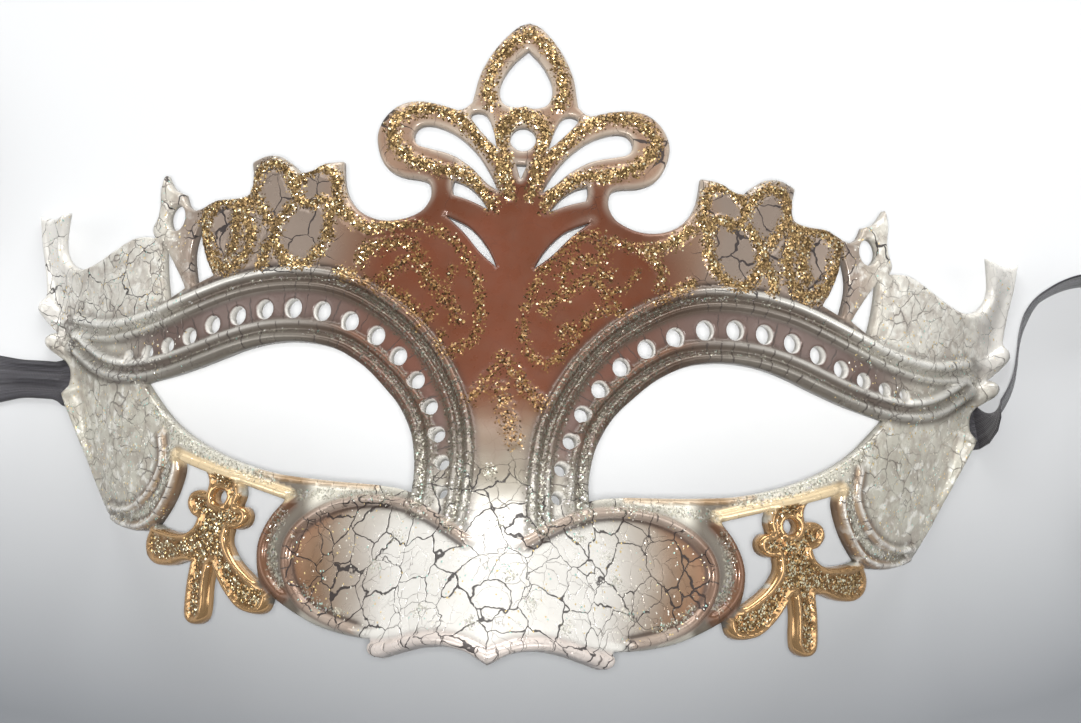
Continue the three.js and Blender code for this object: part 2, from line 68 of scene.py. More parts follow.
# Fineness of the fine shell
EDGE_STEP = 0.5
LINE_STEP = 0.12
EDGE_RADIUS = 0.7
HOLE_EDGE_RADIUS = 0.38
EDGE_RINGS = (0.16, 0.42)
RAIL_ROWS = (0, 0.3, 0.55, 0.75, 0.95, 1.2, 1.45, 1.65, 1.85, 2.05)
BEAD_ROWS = (0, 0.25, 0.45, 0.62, 0.78, 1.0, 1.25)
FRONT_SPACING = 0.42
FRONT_MARGIN = 0.68
BACK_SPACING = 1.6
BACK_MARGIN = 0.9

OUTLINE = [
    [(0, 62.4), (2.1, 61.5), (5.2, 58), (7.5, 53.6), (8.4, 49.6), (8.7, 48.2)],
    [(8.7, 48.2), (10.6, 46.9), (13.7, 47.7), (16.8, 48.3), (19.9, 47.9), (22.4, 46.1), (23.8, 43.4),
     (23.8, 40.8), (22.8, 38.0), (21.3, 36.3), (19, 35.3), (16.4, 34.9), (14.9, 34.3), (14.4, 32.8),
     (14.7, 31.2), (16.1, 29.4), (19.3, 28.1), (22.6, 28.1), (25.6, 29.3), (27.8, 31.6), (28.9, 34.4),
     (29.3, 38)],
    [(29.3, 38), (32, 37.8), (34.6, 36.5), (36.4, 36.3)],
    [(36.4, 36.3), (37.9, 37.8), (40.1, 39.3), (42.4, 39.6), (45, 38.6)],
    [(45, 38.6), (44.6, 36.4), (44.5, 34.4), (45.5, 32.9), (47.8, 32.6), (50.6, 32.6), (52.6, 31.8),
     (54.6, 31.3)],
    [(54.6, 31.3), (56.2, 32.2), (57.1, 34.3)],
    [(57.1, 34.3), (58.5, 35), (59.6, 35.9), (60.8, 38)],
    [(60.8, 38), (61.4, 35.5), (61.3, 33), (61.6, 31), (62.4, 29), (61.9, 27.5)],
    [(61.9, 27.5), (63.6, 28.0), (66, 28.1), (69.1, 27.1), (71.8, 26), (74.8, 25.2), (77.4, 25.2),
     (79.8, 26.3), (81.5, 28.3), (82.1, 31), (81.3, 35.6)],
    [(81.3, 35.6), (84, 35.4), (86.8, 36.6)],
    [(86.8, 36.6), (86.1, 32), (85.2, 28), (84.5, 24.3), (84.4, 22.2), (85.4, 21.1), (85.5, 19.6),
     (83.6, 17.4), (81.8, 15.7)],
    [(81.8, 15.7), (83.1, 15.4), (83.9, 14.4), (83.4, 13.1), (81.6, 11.8), (80, 10.7)],
    [(80, 10.7), (79.2, 9.4), (78.9, 7.6), (79.2, 5.9), (80.2, 4.9)],
    [(80.2, 4.9), (79.5, 3.2), (78.4, 1), (76.8, -2.3), (74.6, -6.8), (73, -10.4), (71.2, -14),
     (69.8, -16.4)],
    [(69.8, -16.4), (67.9, -18.3), (65, -19.8), (62.2, -20.5), (59.8, -20.8)],
    [(59.8, -20.8), (60.4, -22.6), (60, -24.8), (58.3, -26.4), (55.6, -26.9), (53, -26.5), (51.3, -26.7)],
    [(51.3, -26.7), (51.9, -30.5), (52.1, -34.6), (51.5, -36.2), (50.1, -36.8), (48.7, -36.1),
     (48.2, -34.4), (48, -30.4), (47.4, -27.2)],
    [(47.4, -27.2), (46.6, -29), (44.9, -31.8), (42.3, -34.6), (39.4, -35.7), (37.5, -35.2), (36.6, -33)],
    [(36.6, -33), (33.2, -35.3), (28.9, -37.7), (24, -39.4), (19.1, -40.5)],
    [(19.1, -40.5), (18.8, -42.2), (17.9, -43.3), (14.9, -42.7), (11.1, -42), (7.2, -42), (3.8, -42.8),
     (1.4, -44), (0, -44.7)],
]
HALF_HOLES = [
    [[(13.9, -17.4), (13.5, -15.3), (13.7, -12.3), (14.4, -9), (15.6, -5.8), (17.4, -2.6), (20, 0.4),
      (22.9, 3.3), (25.7, 5.3), (28.8, 6.9), (32.3, 7.8), (36.2, 8.2), (40.3, 8), (44.5, 7.2),
      (48.6, 6), (52.8, 4.9), (57, 4.1), (62.6, 3.5)],
     [(62.6, 3.5), (60.2, 0.4), (57.4, -2.8), (54.1, -5.6), (50.2, -8.1), (45.8, -10.3), (41.1, -12.1),
      (36.4, -13.4), (31.2, -14.3), (25.6, -15.1), (20.4, -15.8), (16.6, -16.5), (13.9, -17.4)]],
    [[(4.2, 40.6), (5.5, 41.7), (7.6, 44), (8.8, 45.9), (7.7, 46.6), (6.2, 46.1), (5.1, 44), (4.2, 40.6)]],
    [[(3.5, 33.2), (5.2, 36.5), (7.6, 39.8), (10.9, 42.6), (14.5, 44.1), (16.9, 44), (17.9, 42.5),
      (17.2, 40.8), (15.1, 40.1), (11.5, 39.1), (8.2, 37.1), (5.6, 34.6), (3.5, 33.2)]],
    [[(4.9, 30), (6.6, 32.3), (8.7, 34), (10.8, 34.8)],
     [(10.8, 34.8), (11, 33.6), (10.7, 32.3)],
     [(10.7, 32.3), (7.9, 31.4), (4.9, 30)]],
    [[(3, 20.4), (4.6, 23.5), (7.6, 26.8), (11.8, 28.9)],
     [(11.8, 28.9), (8.6, 26), (5.8, 22.8), (3, 20.4)]],
    [[(53, 29.7), (54.2, 26.8), (54.7, 23.4), (53.9, 18.7)],
     [(53.9, 18.7), (50.4, 20)],
     [(50.4, 20), (51.8, 23.2), (52.7, 26.3), (53, 29.7)]],
    [[(60.2, 26.2), (58.5, 23.8), (56.4, 20.2), (55.5, 18.4)],
     [(55.5, 18.4), (59, 16.6)],
     [(59, 16.6), (59.6, 19.5), (60, 22.9), (60.2, 26.2)]],
    [[(35.1, -17.6), (38, -16.5), (41.1, -15.3), (43, -14.5)],
     [(43, -14.5), (42.6, -16.3), (43.2, -18.2)],
     [(43.2, -18.2), (41.9, -18.6), (41.2, -19.9), (41.7, -21.4), (43.2, -22), (44.4, -21.7)],
     [(44.4, -21.7), (44.7, -24), (43.1, -26.9), (40.6, -29.4), (38.7, -30.8)],
     [(38.7, -30.8), (39.3, -28), (39.4, -25.5), (38.7, -22.6), (37.1, -19.9), (35.1, -17.6)]],
    [[(49, -12.4), (51.5, -11.3), (54.6, -9.8)],
     [(54.6, -9.8), (54.4, -11.5), (54.8, -13.3), (55.8, -15.7), (57.3, -18), (59, -19.9)],
     [(59, -19.9), (57.5, -20.8), (55.2, -21.6), (52.9, -21.9), (51.2, -21.2), (50.3, -19.7)],
     [(50.3, -19.7), (51.5, -18.9), (52.3, -17.3), (51.9, -15.7), (50.5, -15.1), (48.8, -15.6)],
     [(48.8, -15.6), (48.5, -14), (49, -12.4)]],
]
STEM_HOLE = ((58, 30.4), (1.7, 2.2))
PENDANT_HOLE = ((46.4, -16.6), (1.25, 1.25))
SPADE_HOLE = [[(0, 57.7), (2.4, 55.2), (4, 52.3), (4.3, 50), (3.5, 48.1), (1.4, 47.5), (0, 47.9)]]
CROWN_HOLE = ((0, 42.2), (2.1, 2.1))
CROWN_TRIANGLE = [(-0.9, 37.9), (0, 35.3), (0.9, 37.9)]
DOT_ROW = [(9.1, -17.6), (9.4, -12.2), (10.6, -7.4), (12.3, -2.7), (14.9, 1.7), (18.2, 5.7), (22.1, 9),
           (26.6, 11.3), (31.3, 13), (36.1, 13.6), (40.9, 13.6), (45.4, 12.9), (49.7, 11.8),
           (53.7, 10.3), (57.7, 9.2), (61.7, 8.5), (65.7, 8.4)]
DOT_COUNT = 17
DOT_RADIUS = (1.38, 1.58)
DOT_SMALLEST = 0.6

UPPER_RAIL = [(6.5, -22.5), (6.2, -16.4), (6.4, -10.3), (7.3, -5.1), (9.2, 0), (12, 4.9), (15.8, 9.5),
              (20.4, 13.2), (25.5, 16.2), (30.6, 17.9), (35.7, 18.5), (40.8, 18.4), (45.9, 17.7),
              (51, 16.4), (56.2, 14.9), (61.4, 13.6), (66.6, 13.1), (71.9, 13.7), (77.7, 16)]
LOWER_RAIL = [(12.5, -19.9), (12.1, -16.3), (12.4, -11.2), (13.2, -7.1), (14.6, -3.6), (16.8, -0.3),
              (19.7, 2.9), (23, 5.7), (26.5, 7.9), (30.6, 9.2), (35.7, 9.8), (40.8, 9.7), (46, 8.8),
              (51.2, 7.4), (56.4, 6.2), (61.6, 5.7), (66.9, 6.3), (72.3, 8.6), (77.2, 12.8)]
OVAL_RIM = [(4.5, -25.6), (7.7, -23.3), (10.7, -21.3), (14.3, -19.5), (18.4, -18.5), (22.5, -18.3),
            (26.6, -19), (30.2, -20.6), (32.8, -22.9), (34, -25.6), (33.9, -28.8), (32.7, -31.8),
            (30.2, -34.8), (26.3, -37.1), (21.7, -38.9)]
FRAME_BEAD = [(34, -18.1), (36.3, -20.4), (37.8, -23), (38.4, -25.6), (38, -28.4), (36.6, -30.9),
              (34.4, -33)]
LOWER_BAR = [(55.3, -9), (48, -12.2), (41.1, -14.6), (34.5, -17)]
LOBE_INNER = [(58.2, -5.6), (57.8, -9.4), (58.9, -12.5), (61, -15), (63.8, -16.3), (66.6, -16.3),
              (69, -15.3)]
LOBE_OUTER = [(55.2, -9), (55.2, -11.5), (56.1, -14.6), (58, -17.5), (60.3, -19.3), (63, -19.5),
              (65.9, -18.6), (68.2, -17.1)]
MOUTH_LIP = [(18.3, -42.2), (14.9, -42.1), (11.1, -41.4), (7.2, -41.4), (3.8, -42.2), (0, -43.9)]
LID_BEAD = [(19.5, -16.3), (25.6, -15.6), (31.2, -14.8), (36.4, -13.9), (40, -12.9)]

# Gold glitter glue: lines on each half with their half widths
GOLD_LINES = [
    ([(0, 60.4), (2.9, 58.4), (5.2, 54.4), (6.1, 50.8), (5.6, 48)], 1.25),
    ([(3.6, 42.2), (3.1, 44.4), (1.6, 45.7), (0, 46)], 1.45),
    ([(3.6, 42.2), (3, 39.9), (2.4, 37.4), (2.2, 34.6), (1.6, 32.4)], 1),
    ([(2.8, 34.9), (3.4, 37.6), (4.8, 39.3), (6.5, 41.3), (8.3, 43.2), (10.1, 44.9), (12.2, 46), (15, 46.7),
      (18, 46.4), (20.5, 45), (21.4, 42.8), (20.2, 40.2), (18.3, 38.4), (15.4, 37.2), (12.6, 36.5),
      (9.8, 35.9), (7.2, 34.3), (5.1, 31.9), (4.3, 30.4)], 1.25),
    ([(29.5, 29.5), (29.6, 32.5), (30.5, 35.6), (32.5, 36.7), (35, 36), (36.5, 34.2), (36.2, 31.9),
      (34.6, 30.8), (32, 31.3), (30.2, 30.4)], 1.05),
    ([(31, 30.6), (30.7, 27), (31.8, 23.6), (33.8, 21.3), (36.3, 20.8), (38.6, 22.6), (39.8, 25.5),
      (39, 28.3), (37.2, 30.6)], 1.1),
    ([(36.8, 33.2), (38.2, 36), (40.3, 37.8), (42.6, 37.2), (43.8, 34.8), (43.4, 32.3), (41.8, 29.8),
      (40.2, 27.4)], 1.05),
    ([(39.9, 25.5), (41.4, 23.3), (41.6, 20.9)], 1.1),
    ([(44.2, 31.6), (47, 32), (50.3, 31.9), (52.2, 30), (52.1, 27.2), (51.2, 24), (49.2, 21.3),
      (46.4, 21.2), (44.5, 23.6), (43.9, 26.5), (45, 29.3), (45.8, 31.6)], 1.25),
    ([(46.8, 30), (46.4, 26.6), (47.2, 23.6)], 1.2),
]
# and the forehead's own strokes, which differ from side to side
FOREHEAD_STROKES = [
    ([(27.6, 29), (25.4, 26.9), (22.5, 25.3), (19.2, 24.9), (15.8, 25.6), (12.8, 26.3), (10.6, 26.2),
      (8.1, 24.5), (6, 22.4), (4.4, 19.6), (3.2, 17.1), (2.5, 14.5), (2.1, 12.2), (2, 9.1), (2.7, 6.7),
      (4.5, 5), (6.1, 4.7), (7.9, 5.9), (9.1, 7.7), (10.3, 9.7), (9.2, 11), (7.6, 9.9)], 1.1),
    ([(13.3, 24.9), (14.2, 23.5), (12.7, 22), (10.3, 22.3), (8.5, 21.3), (7.5, 19.3)], 1.3),
    ([(14.8, 20.1), (12.8, 19.5), (10.3, 18.2), (7.5, 16), (4.9, 13.5)], 1.5),
    ([(12.8, 19.3), (14.4, 17.4), (15.9, 15.4), (17.8, 14)], 1.05),
    ([(11.5, 11.6), (12.9, 13.4), (15.6, 14.5), (17.8, 14.2)], 1.25),
    ([(15.8, 17.3), (17.5, 18.1), (18.7, 19.9), (19.7, 21.3)], 0.75),
    ([(21, 24.3), (22.8, 22.4), (23.6, 20.4), (23.2, 18.5)], 1.05),
    ([(22.2, 16.2), (25.4, 18.1), (28.3, 20.1)], 1.05),
    ([(-28.6, 29.6), (-26.4, 27.4), (-23.9, 26.6), (-20.9, 27), (-17.5, 27), (-14.1, 26.4), (-11.1, 25.1),
      (-8.7, 22.9), (-7, 20.2), (-5.8, 17.6), (-5.2, 14.5), (-5.2, 10.7), (-5.9, 8.4), (-7.7, 6.8),
      (-9.8, 5.7), (-11.2, 7), (-11.1, 8.8)], 1.1),
    ([(-24.9, 21.1), (-24.4, 22.6), (-22.4, 23.5), (-19.6, 24.1), (-17, 23.7), (-15.5, 21.6), (-14.4, 19.3),
      (-13, 17), (-11.2, 15), (-9.4, 13.3), (-8.6, 11.6)], 1.4),
    ([(-15.3, 21.4), (-17.1, 21.1), (-19.3, 19.7), (-20.9, 18.3), (-21.7, 16.8), (-20, 16.1), (-17.1, 14.3),
      (-15.4, 12.1), (-13.4, 12.1), (-14.2, 10.2)], 1.3),
    ([(-10, 19.8), (-10.2, 18), (-11.2, 15.9)], 0.9),
    ([(-28.3, 19.4), (-26, 18.3), (-23.2, 17.1)], 1.05),
    ([(-2.1, 3.3), (-3.8, 0.7), (-5.9, -2.1)], 1.3),
    ([(-1, 5.1), (1, 2.9), (3.3, -0.1), (5.6, -2.2)], 1.45),
    ([(-1, -0.4), (-0.2, -3.1), (0.7, -6.2), (1.6, -8.6)], 1.65),
]
# Silver glitter: lines with half widths and how densely they are strewn
SILVER_LINES = [
    ([(17, -18.3), (22, -17.4), (29, -17), (34, -16.9)], 1.0, 0.62),
    ([(37.5, -14.3), (42, -12.7), (47.6, -10.3), (52.6, -7.5), (56.6, -4.4), (59.6, -1.2)], 1.0, 0.68),
    ([(35, -19.8), (36.3, -22.4), (36.7, -25.4), (36.2, -28.4), (34.8, -31)], 0.9, 0.8),
    ([(24.4, -36), (27.2, -35), (29.4, -33.4), (31, -31.4)], 0.6, 0.66),
    ([(56.5, -7.6), (56.7, -11.4), (58, -14.8), (60.4, -17.2), (63.4, -18), (66.4, -17.2)], 0.8, 0.66),
]
NOSE_SPARKLES = [
    (-1.5, -14.3), (6.8, -14.8), (-7, -19.5), (0.5, -22.5), (7.6, -21.5), (12.5, -23.5), (17, -25.8),
    (-15.5, -24.5), (-19, -29), (18.6, -29.6), (-11, -36.5), (11.5, -38), (20.5, -34.5), (2.5, -31),
    (-3, -38.5), (6, -35.2),
]
# Places where the paint is chipped at the tips, with their radii
CHIPPED_TIPS = [(0, 62, 3.2), (22.4, 43.5, 4.5), (19, 48, 3), (42, 38.6, 4), (36.2, 36, 2.6),
                (60.4, 34.5, 5), (53.5, 31.4, 2.5)]
# Small round bars at the temples' edges: both ends and the radius
KNOBS = [(79.2, 12.6, 82.6, 14.0, 1.3), (81, 17.6, 84, 19.8, 1.5), (77.6, 5.6, 79.2, 5.2, 0.9)]
# A loose loop round each pendant
PENDANT = [
    (43.4, -14.2), (46.2, -12.9), (49.2, -12.6), (53, -14.6), (53.6, -17.6), (51.6, -20.2), (55, -21.2),
    (59.4, -20.4), (61.5, -21), (61, -27.5), (53.2, -28), (53.2, -38), (37, -38), (36.9, -33.2),
    (38.7, -30.9), (43.6, -26.5), (44.4, -22.4), (41, -22.6), (40.6, -18), (42.4, -17),
]

# The four beads of the two rails: offset from the rail's line, radius, height, and how strong the painted
# highlight on each is at these distances from the middle
BEAD_PLACES = (16, 26, 36, 46, 56, 67)
RAIL_BEADS = {
    "upper": [(1.2, 0.8, 0.9, (0.04, 0.1, 0.5, 0.8, 1, 1)),
              (-1.05, 0.6, 0.65, (0, 0, 0.06, 0.14, 0.38, 0.5))],
    "lower": [(1.35, 0.68, 0.8, (0, 0, 0.2, 0.4, 0.5, 1)),
              (-0.85, 0.7, 0.7, (0, 0, 0.04, 0.14, 0.26, 0.66))],
}
# Lines that the surface is worked along: how far they reach to each side, and their bead's height
LINES = {
    "upper": (UPPER_RAIL, 2.05, 0),
    "lower": (LOWER_RAIL, 2.05, 0),
    "oval": (OVAL_RIM, 0.75, 0.8),
    "frame": (FRAME_BEAD, 0.7, 0.7),
    "bar": (LOWER_BAR, 0.75, 0.7),
    "inner": (LOBE_INNER, 0.52, 0.62),
    "outer": (LOBE_OUTER, 0.52, 0.62),
    "lip": (MOUTH_LIP, 1.1, 0.9),
    "lid": (LID_BEAD, 0.5, 0.35),
    "dots": (DOT_ROW, 2.6, 0),
}
# Where painted shade gathers in the creases: at this distance from each bead's line, and to both sides of a
# rail
CREASE_SHADE_AT = {"oval": 0.75, "frame": 0.7, "bar": 0.75, "inner": 0.68, "outer": 0.68, "lip": 1.1}
RAIL_OUTSIDE = 2.0
RAIL_INSIDE = 1.6
KNOB_HEIGHT = 0.7

# Glue and grain, in millimetres of height, and the grain's seed
GLUE_HEIGHT = 0.36
GLUE_UNEVEN = 0.16
PENDANT_GLUE = 0.12
GRAIN_HEIGHT = 0.09
GROOVE_DEPTH = 0.3
GRAIN_SEED = 7

# Paint, in screen values
PEARL = (220, 216, 202)
TAUPE = (152, 124, 104)
HUMP = (148, 133, 121)
PATINA = (80, 70, 57)
# the rails' flanks, darkened as painted shade
SHADED_FLANK = (106, 98, 89)
UMBER = (84, 68, 57)
MAUVE = (108, 91, 85)
BROWN = (98, 56, 38)
TAN = (118, 94, 68)
NOSE_GREY = (112, 106, 92)
SAGE = (168, 167, 152)
WHITE = (244, 241, 234)
OVAL_BROWN = (128, 100, 76)
# painted shade inside the ovals' rims
OVAL_RIM_SHADE = (142, 102, 74)
GOLD = (206, 166, 118)
PALE_GOLD = (250, 226, 184)
TAN_GOLD = (196, 160, 118)
# painted highlight for the rails' bead tops
HIGHLIGHT = (250, 248, 240)
COPPER = (116, 84, 64)
RUST = (140, 98, 74)
AMBER = (146, 104, 62)
# a dark seam line, and painted shade in the creases beside the beads
SEAM_AND_CREASE_SHADE = (58, 47, 42)
LIP = (224, 212, 204)
RIM = (184, 167, 153)

# Colours within the materials: lines in the coat, patches, flakes, plastic, satin and floor
CRACK_LINE = (52, 47, 48)
CRAZE_LINE = (98, 88, 82)
HAIR_LINE = (88, 54, 42)
TICK_LINE = (84, 76, 72)
# painted shade in the grooves
GROOVE_SHADE = (70, 56, 50)
MOTTLE = (96, 82, 70)
ROSY = (126, 74, 58)
BLOTCH = (150, 134, 122)
CHALK = (248, 246, 238)
GREY_SILVER = (82, 76, 64)
PLASTIC = (226, 222, 212), (212, 207, 197)
GOLD_FLAKES = [(0, (94, 74, 48)), (0.24, (122, 98, 64)), (0.5, (150, 122, 82)), (0.75, (180, 148, 102)),
               (0.9, (230, 200, 140)), (0.96, (255, 247, 212))]
DULL_FLAKES = [(0, (60, 42, 26)), (0.28, (96, 68, 40)), (0.55, (130, 96, 58)), (0.8, (160, 124, 80)),
               (0.93, (200, 164, 110)), (0.982, (252, 236, 196))]
SILVER_FLAKES = [(0, (112, 108, 94)), (0.22, (152, 148, 130)), (0.5, (186, 184, 166)),
                 (0.75, (218, 218, 202)), (0.89, (150, 200, 184)), (0.92, (224, 210, 220)),
                 (0.94, (254, 255, 250))]
FLECKS = [(0, (255, 250, 236)), (0.45, (240, 214, 150)), (0.8, (190, 226, 214))]
SATIN = (38, 36, 40), (74, 72, 78)
SELVEDGE = (26, 25, 28)
FLOOR_PALE = (214, 215, 216)
# painted shade on the floor in front of the mask
FLOOR_SHADE = (112, 115, 119)

# Cells of the coat's patterns and flakes to the metre, and cracks across a rail to the millimetre
CRACKS = 185
CRAZING = 330
FLAKES = 3700
RAIL_CRACKS = 0.42

# Ribbons, as in the part
RIBBON_WIDTH = 9.0
RIBBON_THICKNESS = 0.4
RIBBON_LIFT = 0.05
GLUED_FROM = 73.5
TOUCH_GAP = 0.3
ROLL_OUTER = 32.5
ROLL_REACH = ROLL_OUTER + TOUCH_GAP + RIBBON_THICKNESS / 2
RIBBON_LEFT = {
    "route": [(-GLUED_FROM, 7), (-80, 7.2), (-86, 7.3), (-92, 7), (-100, 6.5), (-110, 6.3), (-120, 6.5),
              (-134, 6.9)],
    "turns": [(-100, 0), (-122, 90)],
    "centre": (-134, 6.9 + ROLL_REACH),
    "start": -90,
    "gather": 0.26,
}
RIBBON_RIGHT = {
    "route": [(GLUED_FROM, 7.7), (77, 7.7), (79.4, 7.8), (81.6, 8.5), (83.4, 10.1), (84.8, 12.5),
              (85.8, 15.4), (86.3, 18.8), (86.6, 22.4), (87.6, 26.2), (90.1, 30), (94.4, 32.7), (99, 33.8),
              (108, 34.3), (120, 34.2), (134, 34.1)],
    "turns": [(79.3, 0), (83.8, -98), (87.2, -98), (91, -90)],
    "centre": (134, 34.1 - ROLL_REACH),
    "start": 90,
    "gather": 0,
}
RECESS_MIDDLE = 7.4
ROLL_TURNS = 2.25
PLEAT_HEIGHT = 1.3
ROLL_PITCH = 4.0

# The camera, whose lens follows from the photograph's width and focal length in pixels
PHOTO_WIDTH = 1081
FOCAL_PIXELS = 2741.41
SENSOR_WIDTH = 36
CAMERA_PLACE = (17.25, -84.954 + PLAN_SHIFT, 424.843 + BROW_HEIGHT)
CAMERA_TURN = (12.06892, 0.98383, 3.19419)

# Lights: place and aim in metres, size, and power in watts
LIGHTS = [
    ("window", (0, 0.8, 0.43), (0, 0.02, 0), (1.1, 0.4), 8.6),
    ("lamp", (0.0177, -0.098, 0.491), (0.015, 0, 0), (0.02, 0.02), 2.0),
    ("side", (0.85, -0.1, 0.5), (0, 0, 0.02), (0.5, 0.5), 2.4),
    ("side", (-0.85, -0.1, 0.5), (0, 0, 0.02), (0.5, 0.5), 2.4),
]
WORLD_COLOUR = (0.96, 0.98, 1.0, 1)
WORLD_STRENGTH = 0.14
FLOOR_REACH = 3.0


def lin(r, g, b):
    """Linear colour from screen values of 0 to 255."""
    out = []
    for v in (r, g, b):
        c = v / 255
        out.append(c / 12.92 if c <= 0.04045 else ((c + 0.055) / 1.055) ** 2.4)
    return (*out, 1.0)


def smoothstep(low, high, value):
    t = np.clip((value - low) / (high - low), 0, 1)
    return t * t * (3 - 2 * t)


def front_height(x, y):
    reach = SIDE_REACH + SIDE_TAPER * y
    share = np.minimum(np.abs(x) / reach, 0.985)
    wrap = WRAP_DEPTH * (1 - np.sqrt(1 - share * share))
    nose = NOSE_RISE * np.exp(-((x / NOSE_WIDTH) ** 2)) / (1 + np.exp((y - NOSE_TOP) / NOSE_BLEND))
    lean = CROWN_LEAN * np.maximum(y - CROWN_LEAN_START, 0) ** 2
    free = BROW_HEIGHT - wrap + nose - lean - FACE_BOW * y * y
    foot = SHELL_THICKNESS - FOOT_CUT
    return foot + FLARE * np.log1p(np.exp((free - foot) / FLARE))


def front_normal(x, y):
    h = 0.1
    sx = (front_height(x + h, y) - front_height(x - h, y)) / (2 * h)
    sy = (front_height(x, y + h) - front_height(x, y - h)) / (2 * h)
    n = np.stack([-sx, -sy, np.ones_like(sx)], axis=-1)
    return n / np.linalg.norm(n, axis=-1, keepdims=True)


def spline(points, step):
    """Evenly spaced points on the uniform Catmull-Rom curve through the given ones."""
    p = np.array(points, float)
    fine = [p[:1]]
    t = np.linspace(0, 1, 33)[1:, None]
    for i in range(len(p) - 1):
        a, b, c, d = p[max(i - 1, 0)], p[i], p[i + 1], p[min(i + 2, len(p) - 1)]
        va, vb = (c - a) / 2, (d - b) / 2
        cubic, square = 2 * b - 2 * c + va + vb, -3 * b + 3 * c - 2 * va - vb
        fine.append(cubic * t ** 3 + square * t ** 2 + va * t + b)
    line = np.vstack(fine)
    run = np.concatenate([[0], np.cumsum(np.linalg.norm(np.diff(line, axis=0), axis=1))])
    count = max(1, round(run[-1] / step))
    at = np.linspace(0, run[-1], count + 1)
    return np.stack([np.interp(at, run, line[:, k]) for k in range(line.shape[1])], axis=1)


def closed_path(stretches, step):
    """A ring of smooth stretches that meet at corners."""
    return np.vstack([spline(points, step)[:-1] for points in stretches])


def whole_path(stretches, step):
    """A ring whose right half is given, from its top to its bottom."""
    half = np.vstack([closed_path(stretches, step), [stretches[-1][-1]]])
    return np.vstack([half, half[1:-1][::-1] * (-1, 1)])


def ellipse(centre, radii, side, step):
    count = max(10, round(2 * math.pi * max(radii) / step))
    turn = np.arange(count) / count * 2 * math.pi
    return np.column_stack([side * centre[0] + radii[0] * np.cos(turn), centre[1] + radii[1] * np.sin(turn)])


def polyline_from(points, step):
    """Evenly spaced points on a closed polygon, its corners among them."""
    out = []
    for a, b in zip(points, points[1:] + points[:1]):
        a, b = np.array(a, float), np.array(b, float)
        count = max(1, round(np.linalg.norm(b - a) / step))
        out.extend(a + (b - a) * k / count for k in range(count))
    return np.array(out)


def dot_places():
    row = np.array(DOT_ROW, float)
    lifted = np.column_stack([row, front_height(row[:, 0], row[:, 1])])
    run = spline(lifted, 0.5)
    length = np.concatenate([[0], np.cumsum(np.linalg.norm(np.diff(run, axis=0), axis=1))])
    at = np.linspace(0, length[-1], DOT_COUNT)
    return [(np.interp(a, length, run[:, 0]), np.interp(a, length, run[:, 1])) for a in at]


def dot_size(i):
    middle = math.sin(math.pi * (i + 1.5) / (DOT_COUNT + 2))
    return DOT_SMALLEST + (1 - DOT_SMALLEST) * middle


def rings():
    """The outline first, then every hole."""
    out = [whole_path(OUTLINE, EDGE_STEP)]
    for side in (1, -1):
        for stretches in HALF_HOLES:
            out.append(closed_path(stretches, EDGE_STEP) * (side, 1))
        out.append(ellipse(*STEM_HOLE, side, EDGE_STEP))
        out.append(ellipse(*PENDANT_HOLE, side, EDGE_STEP))
        for i, place in enumerate(dot_places()):
            out.append(ellipse(place, [r * dot_size(i) for r in DOT_RADIUS], side, EDGE_STEP))
    out.append(whole_path(SPADE_HOLE, EDGE_STEP))
    out.append(ellipse(*CROWN_HOLE, 1, EDGE_STEP))
    out.append(polyline_from(CROWN_TRIANGLE, EDGE_STEP))
    return out


class Near:
    """Distance in plan to a set of lines, with the nearest point's number."""

    def __init__(self, lines):
        self.points = np.vstack(lines)
        self.tree = kdtree.KDTree(len(self.points))
        for i, (x, y) in enumerate(self.points):
            self.tree.insert((x, y, 0), i)
        self.tree.balance()

    def find(self, xy):
        distance = np.empty(len(xy))
        index = np.empty(len(xy), int)
        find = self.tree.find
        for k, (x, y) in enumerate(xy):
            _, index[k], distance[k] = find((x, y, 0))
        return distance, index


def both_sides(line, step=LINE_STEP):
    path = spline(line, step)
    return [path, path * (-1, 1)]


def refine(ring, step):
    out = []
    for a, b in zip(ring, np.roll(ring, -1, axis=0)):
        count = max(1, math.ceil(np.linalg.norm(b - a) / step))
        out.append(a + (b - a) * (np.arange(count) / count)[:, None])
    return np.vstack(out)


def inside(boundary, points):
    """Whether points lie on the moulding: an odd number of its edges is crossed on the way out."""
    start = np.vstack(boundary)
    end = np.vstack([np.roll(ring, -1, axis=0) for ring in boundary])
    slope = (end[:, 0] - start[:, 0]) / np.where(end[:, 1] == start[:, 1], 1e-12, end[:, 1] - start[:, 1])
    result = np.empty(len(points), bool)
    for k in range(0, len(points), 4000):
        px, py = points[k:k + 4000, 0][:, None], points[k:k + 4000, 1][:, None]
        spans = (start[:, 1] > py) != (end[:, 1] > py)
        crossed = spans & (px < start[:, 0] + (py - start[:, 1]) * slope)
        result[k:k + 4000] = crossed.sum(axis=1) % 2 == 1
    return result


def beside(line, offsets):
    """Rows of points along a line at offsets to both of its sides, on both halves of the mask."""
    path = spline(line, 0.55)
    ahead = np.gradient(path, axis=0)
    ahead /= np.linalg.norm(ahead, axis=1, keepdims=True)
    normal = np.stack([-ahead[:, 1], ahead[:, 0]], axis=1)
    rows = [path + normal * o for offset in offsets for o in {offset, -offset}]
    rows = np.vstack(rows)
    return np.vstack([rows, rows * (-1, 1)])


def rings_within(boundary, edge, inset):
    """The boundary's rings moved onto the moulding, without the points that come nearer to another edge."""
    rows = []
    for number, ring in enumerate(boundary):
        ahead = np.roll(ring, -1, axis=0) - np.roll(ring, 1, axis=0)
        normal = np.stack([-ahead[:, 1], ahead[:, 0]], axis=1)
        normal /= np.linalg.norm(normal, axis=1, keepdims=True) + 1e-9
        area = np.sum(ring[:, 0] * np.roll(ring[:, 1], -1) - np.roll(ring[:, 0], -1) * ring[:, 1])
        inward = 1 if (area > 0) == (number == 0) else -1
        moved = ring + normal * inward * inset
        distance, _ = edge.find(moved)
        rows.append(moved[distance > 0.88 * inset])
    return rows


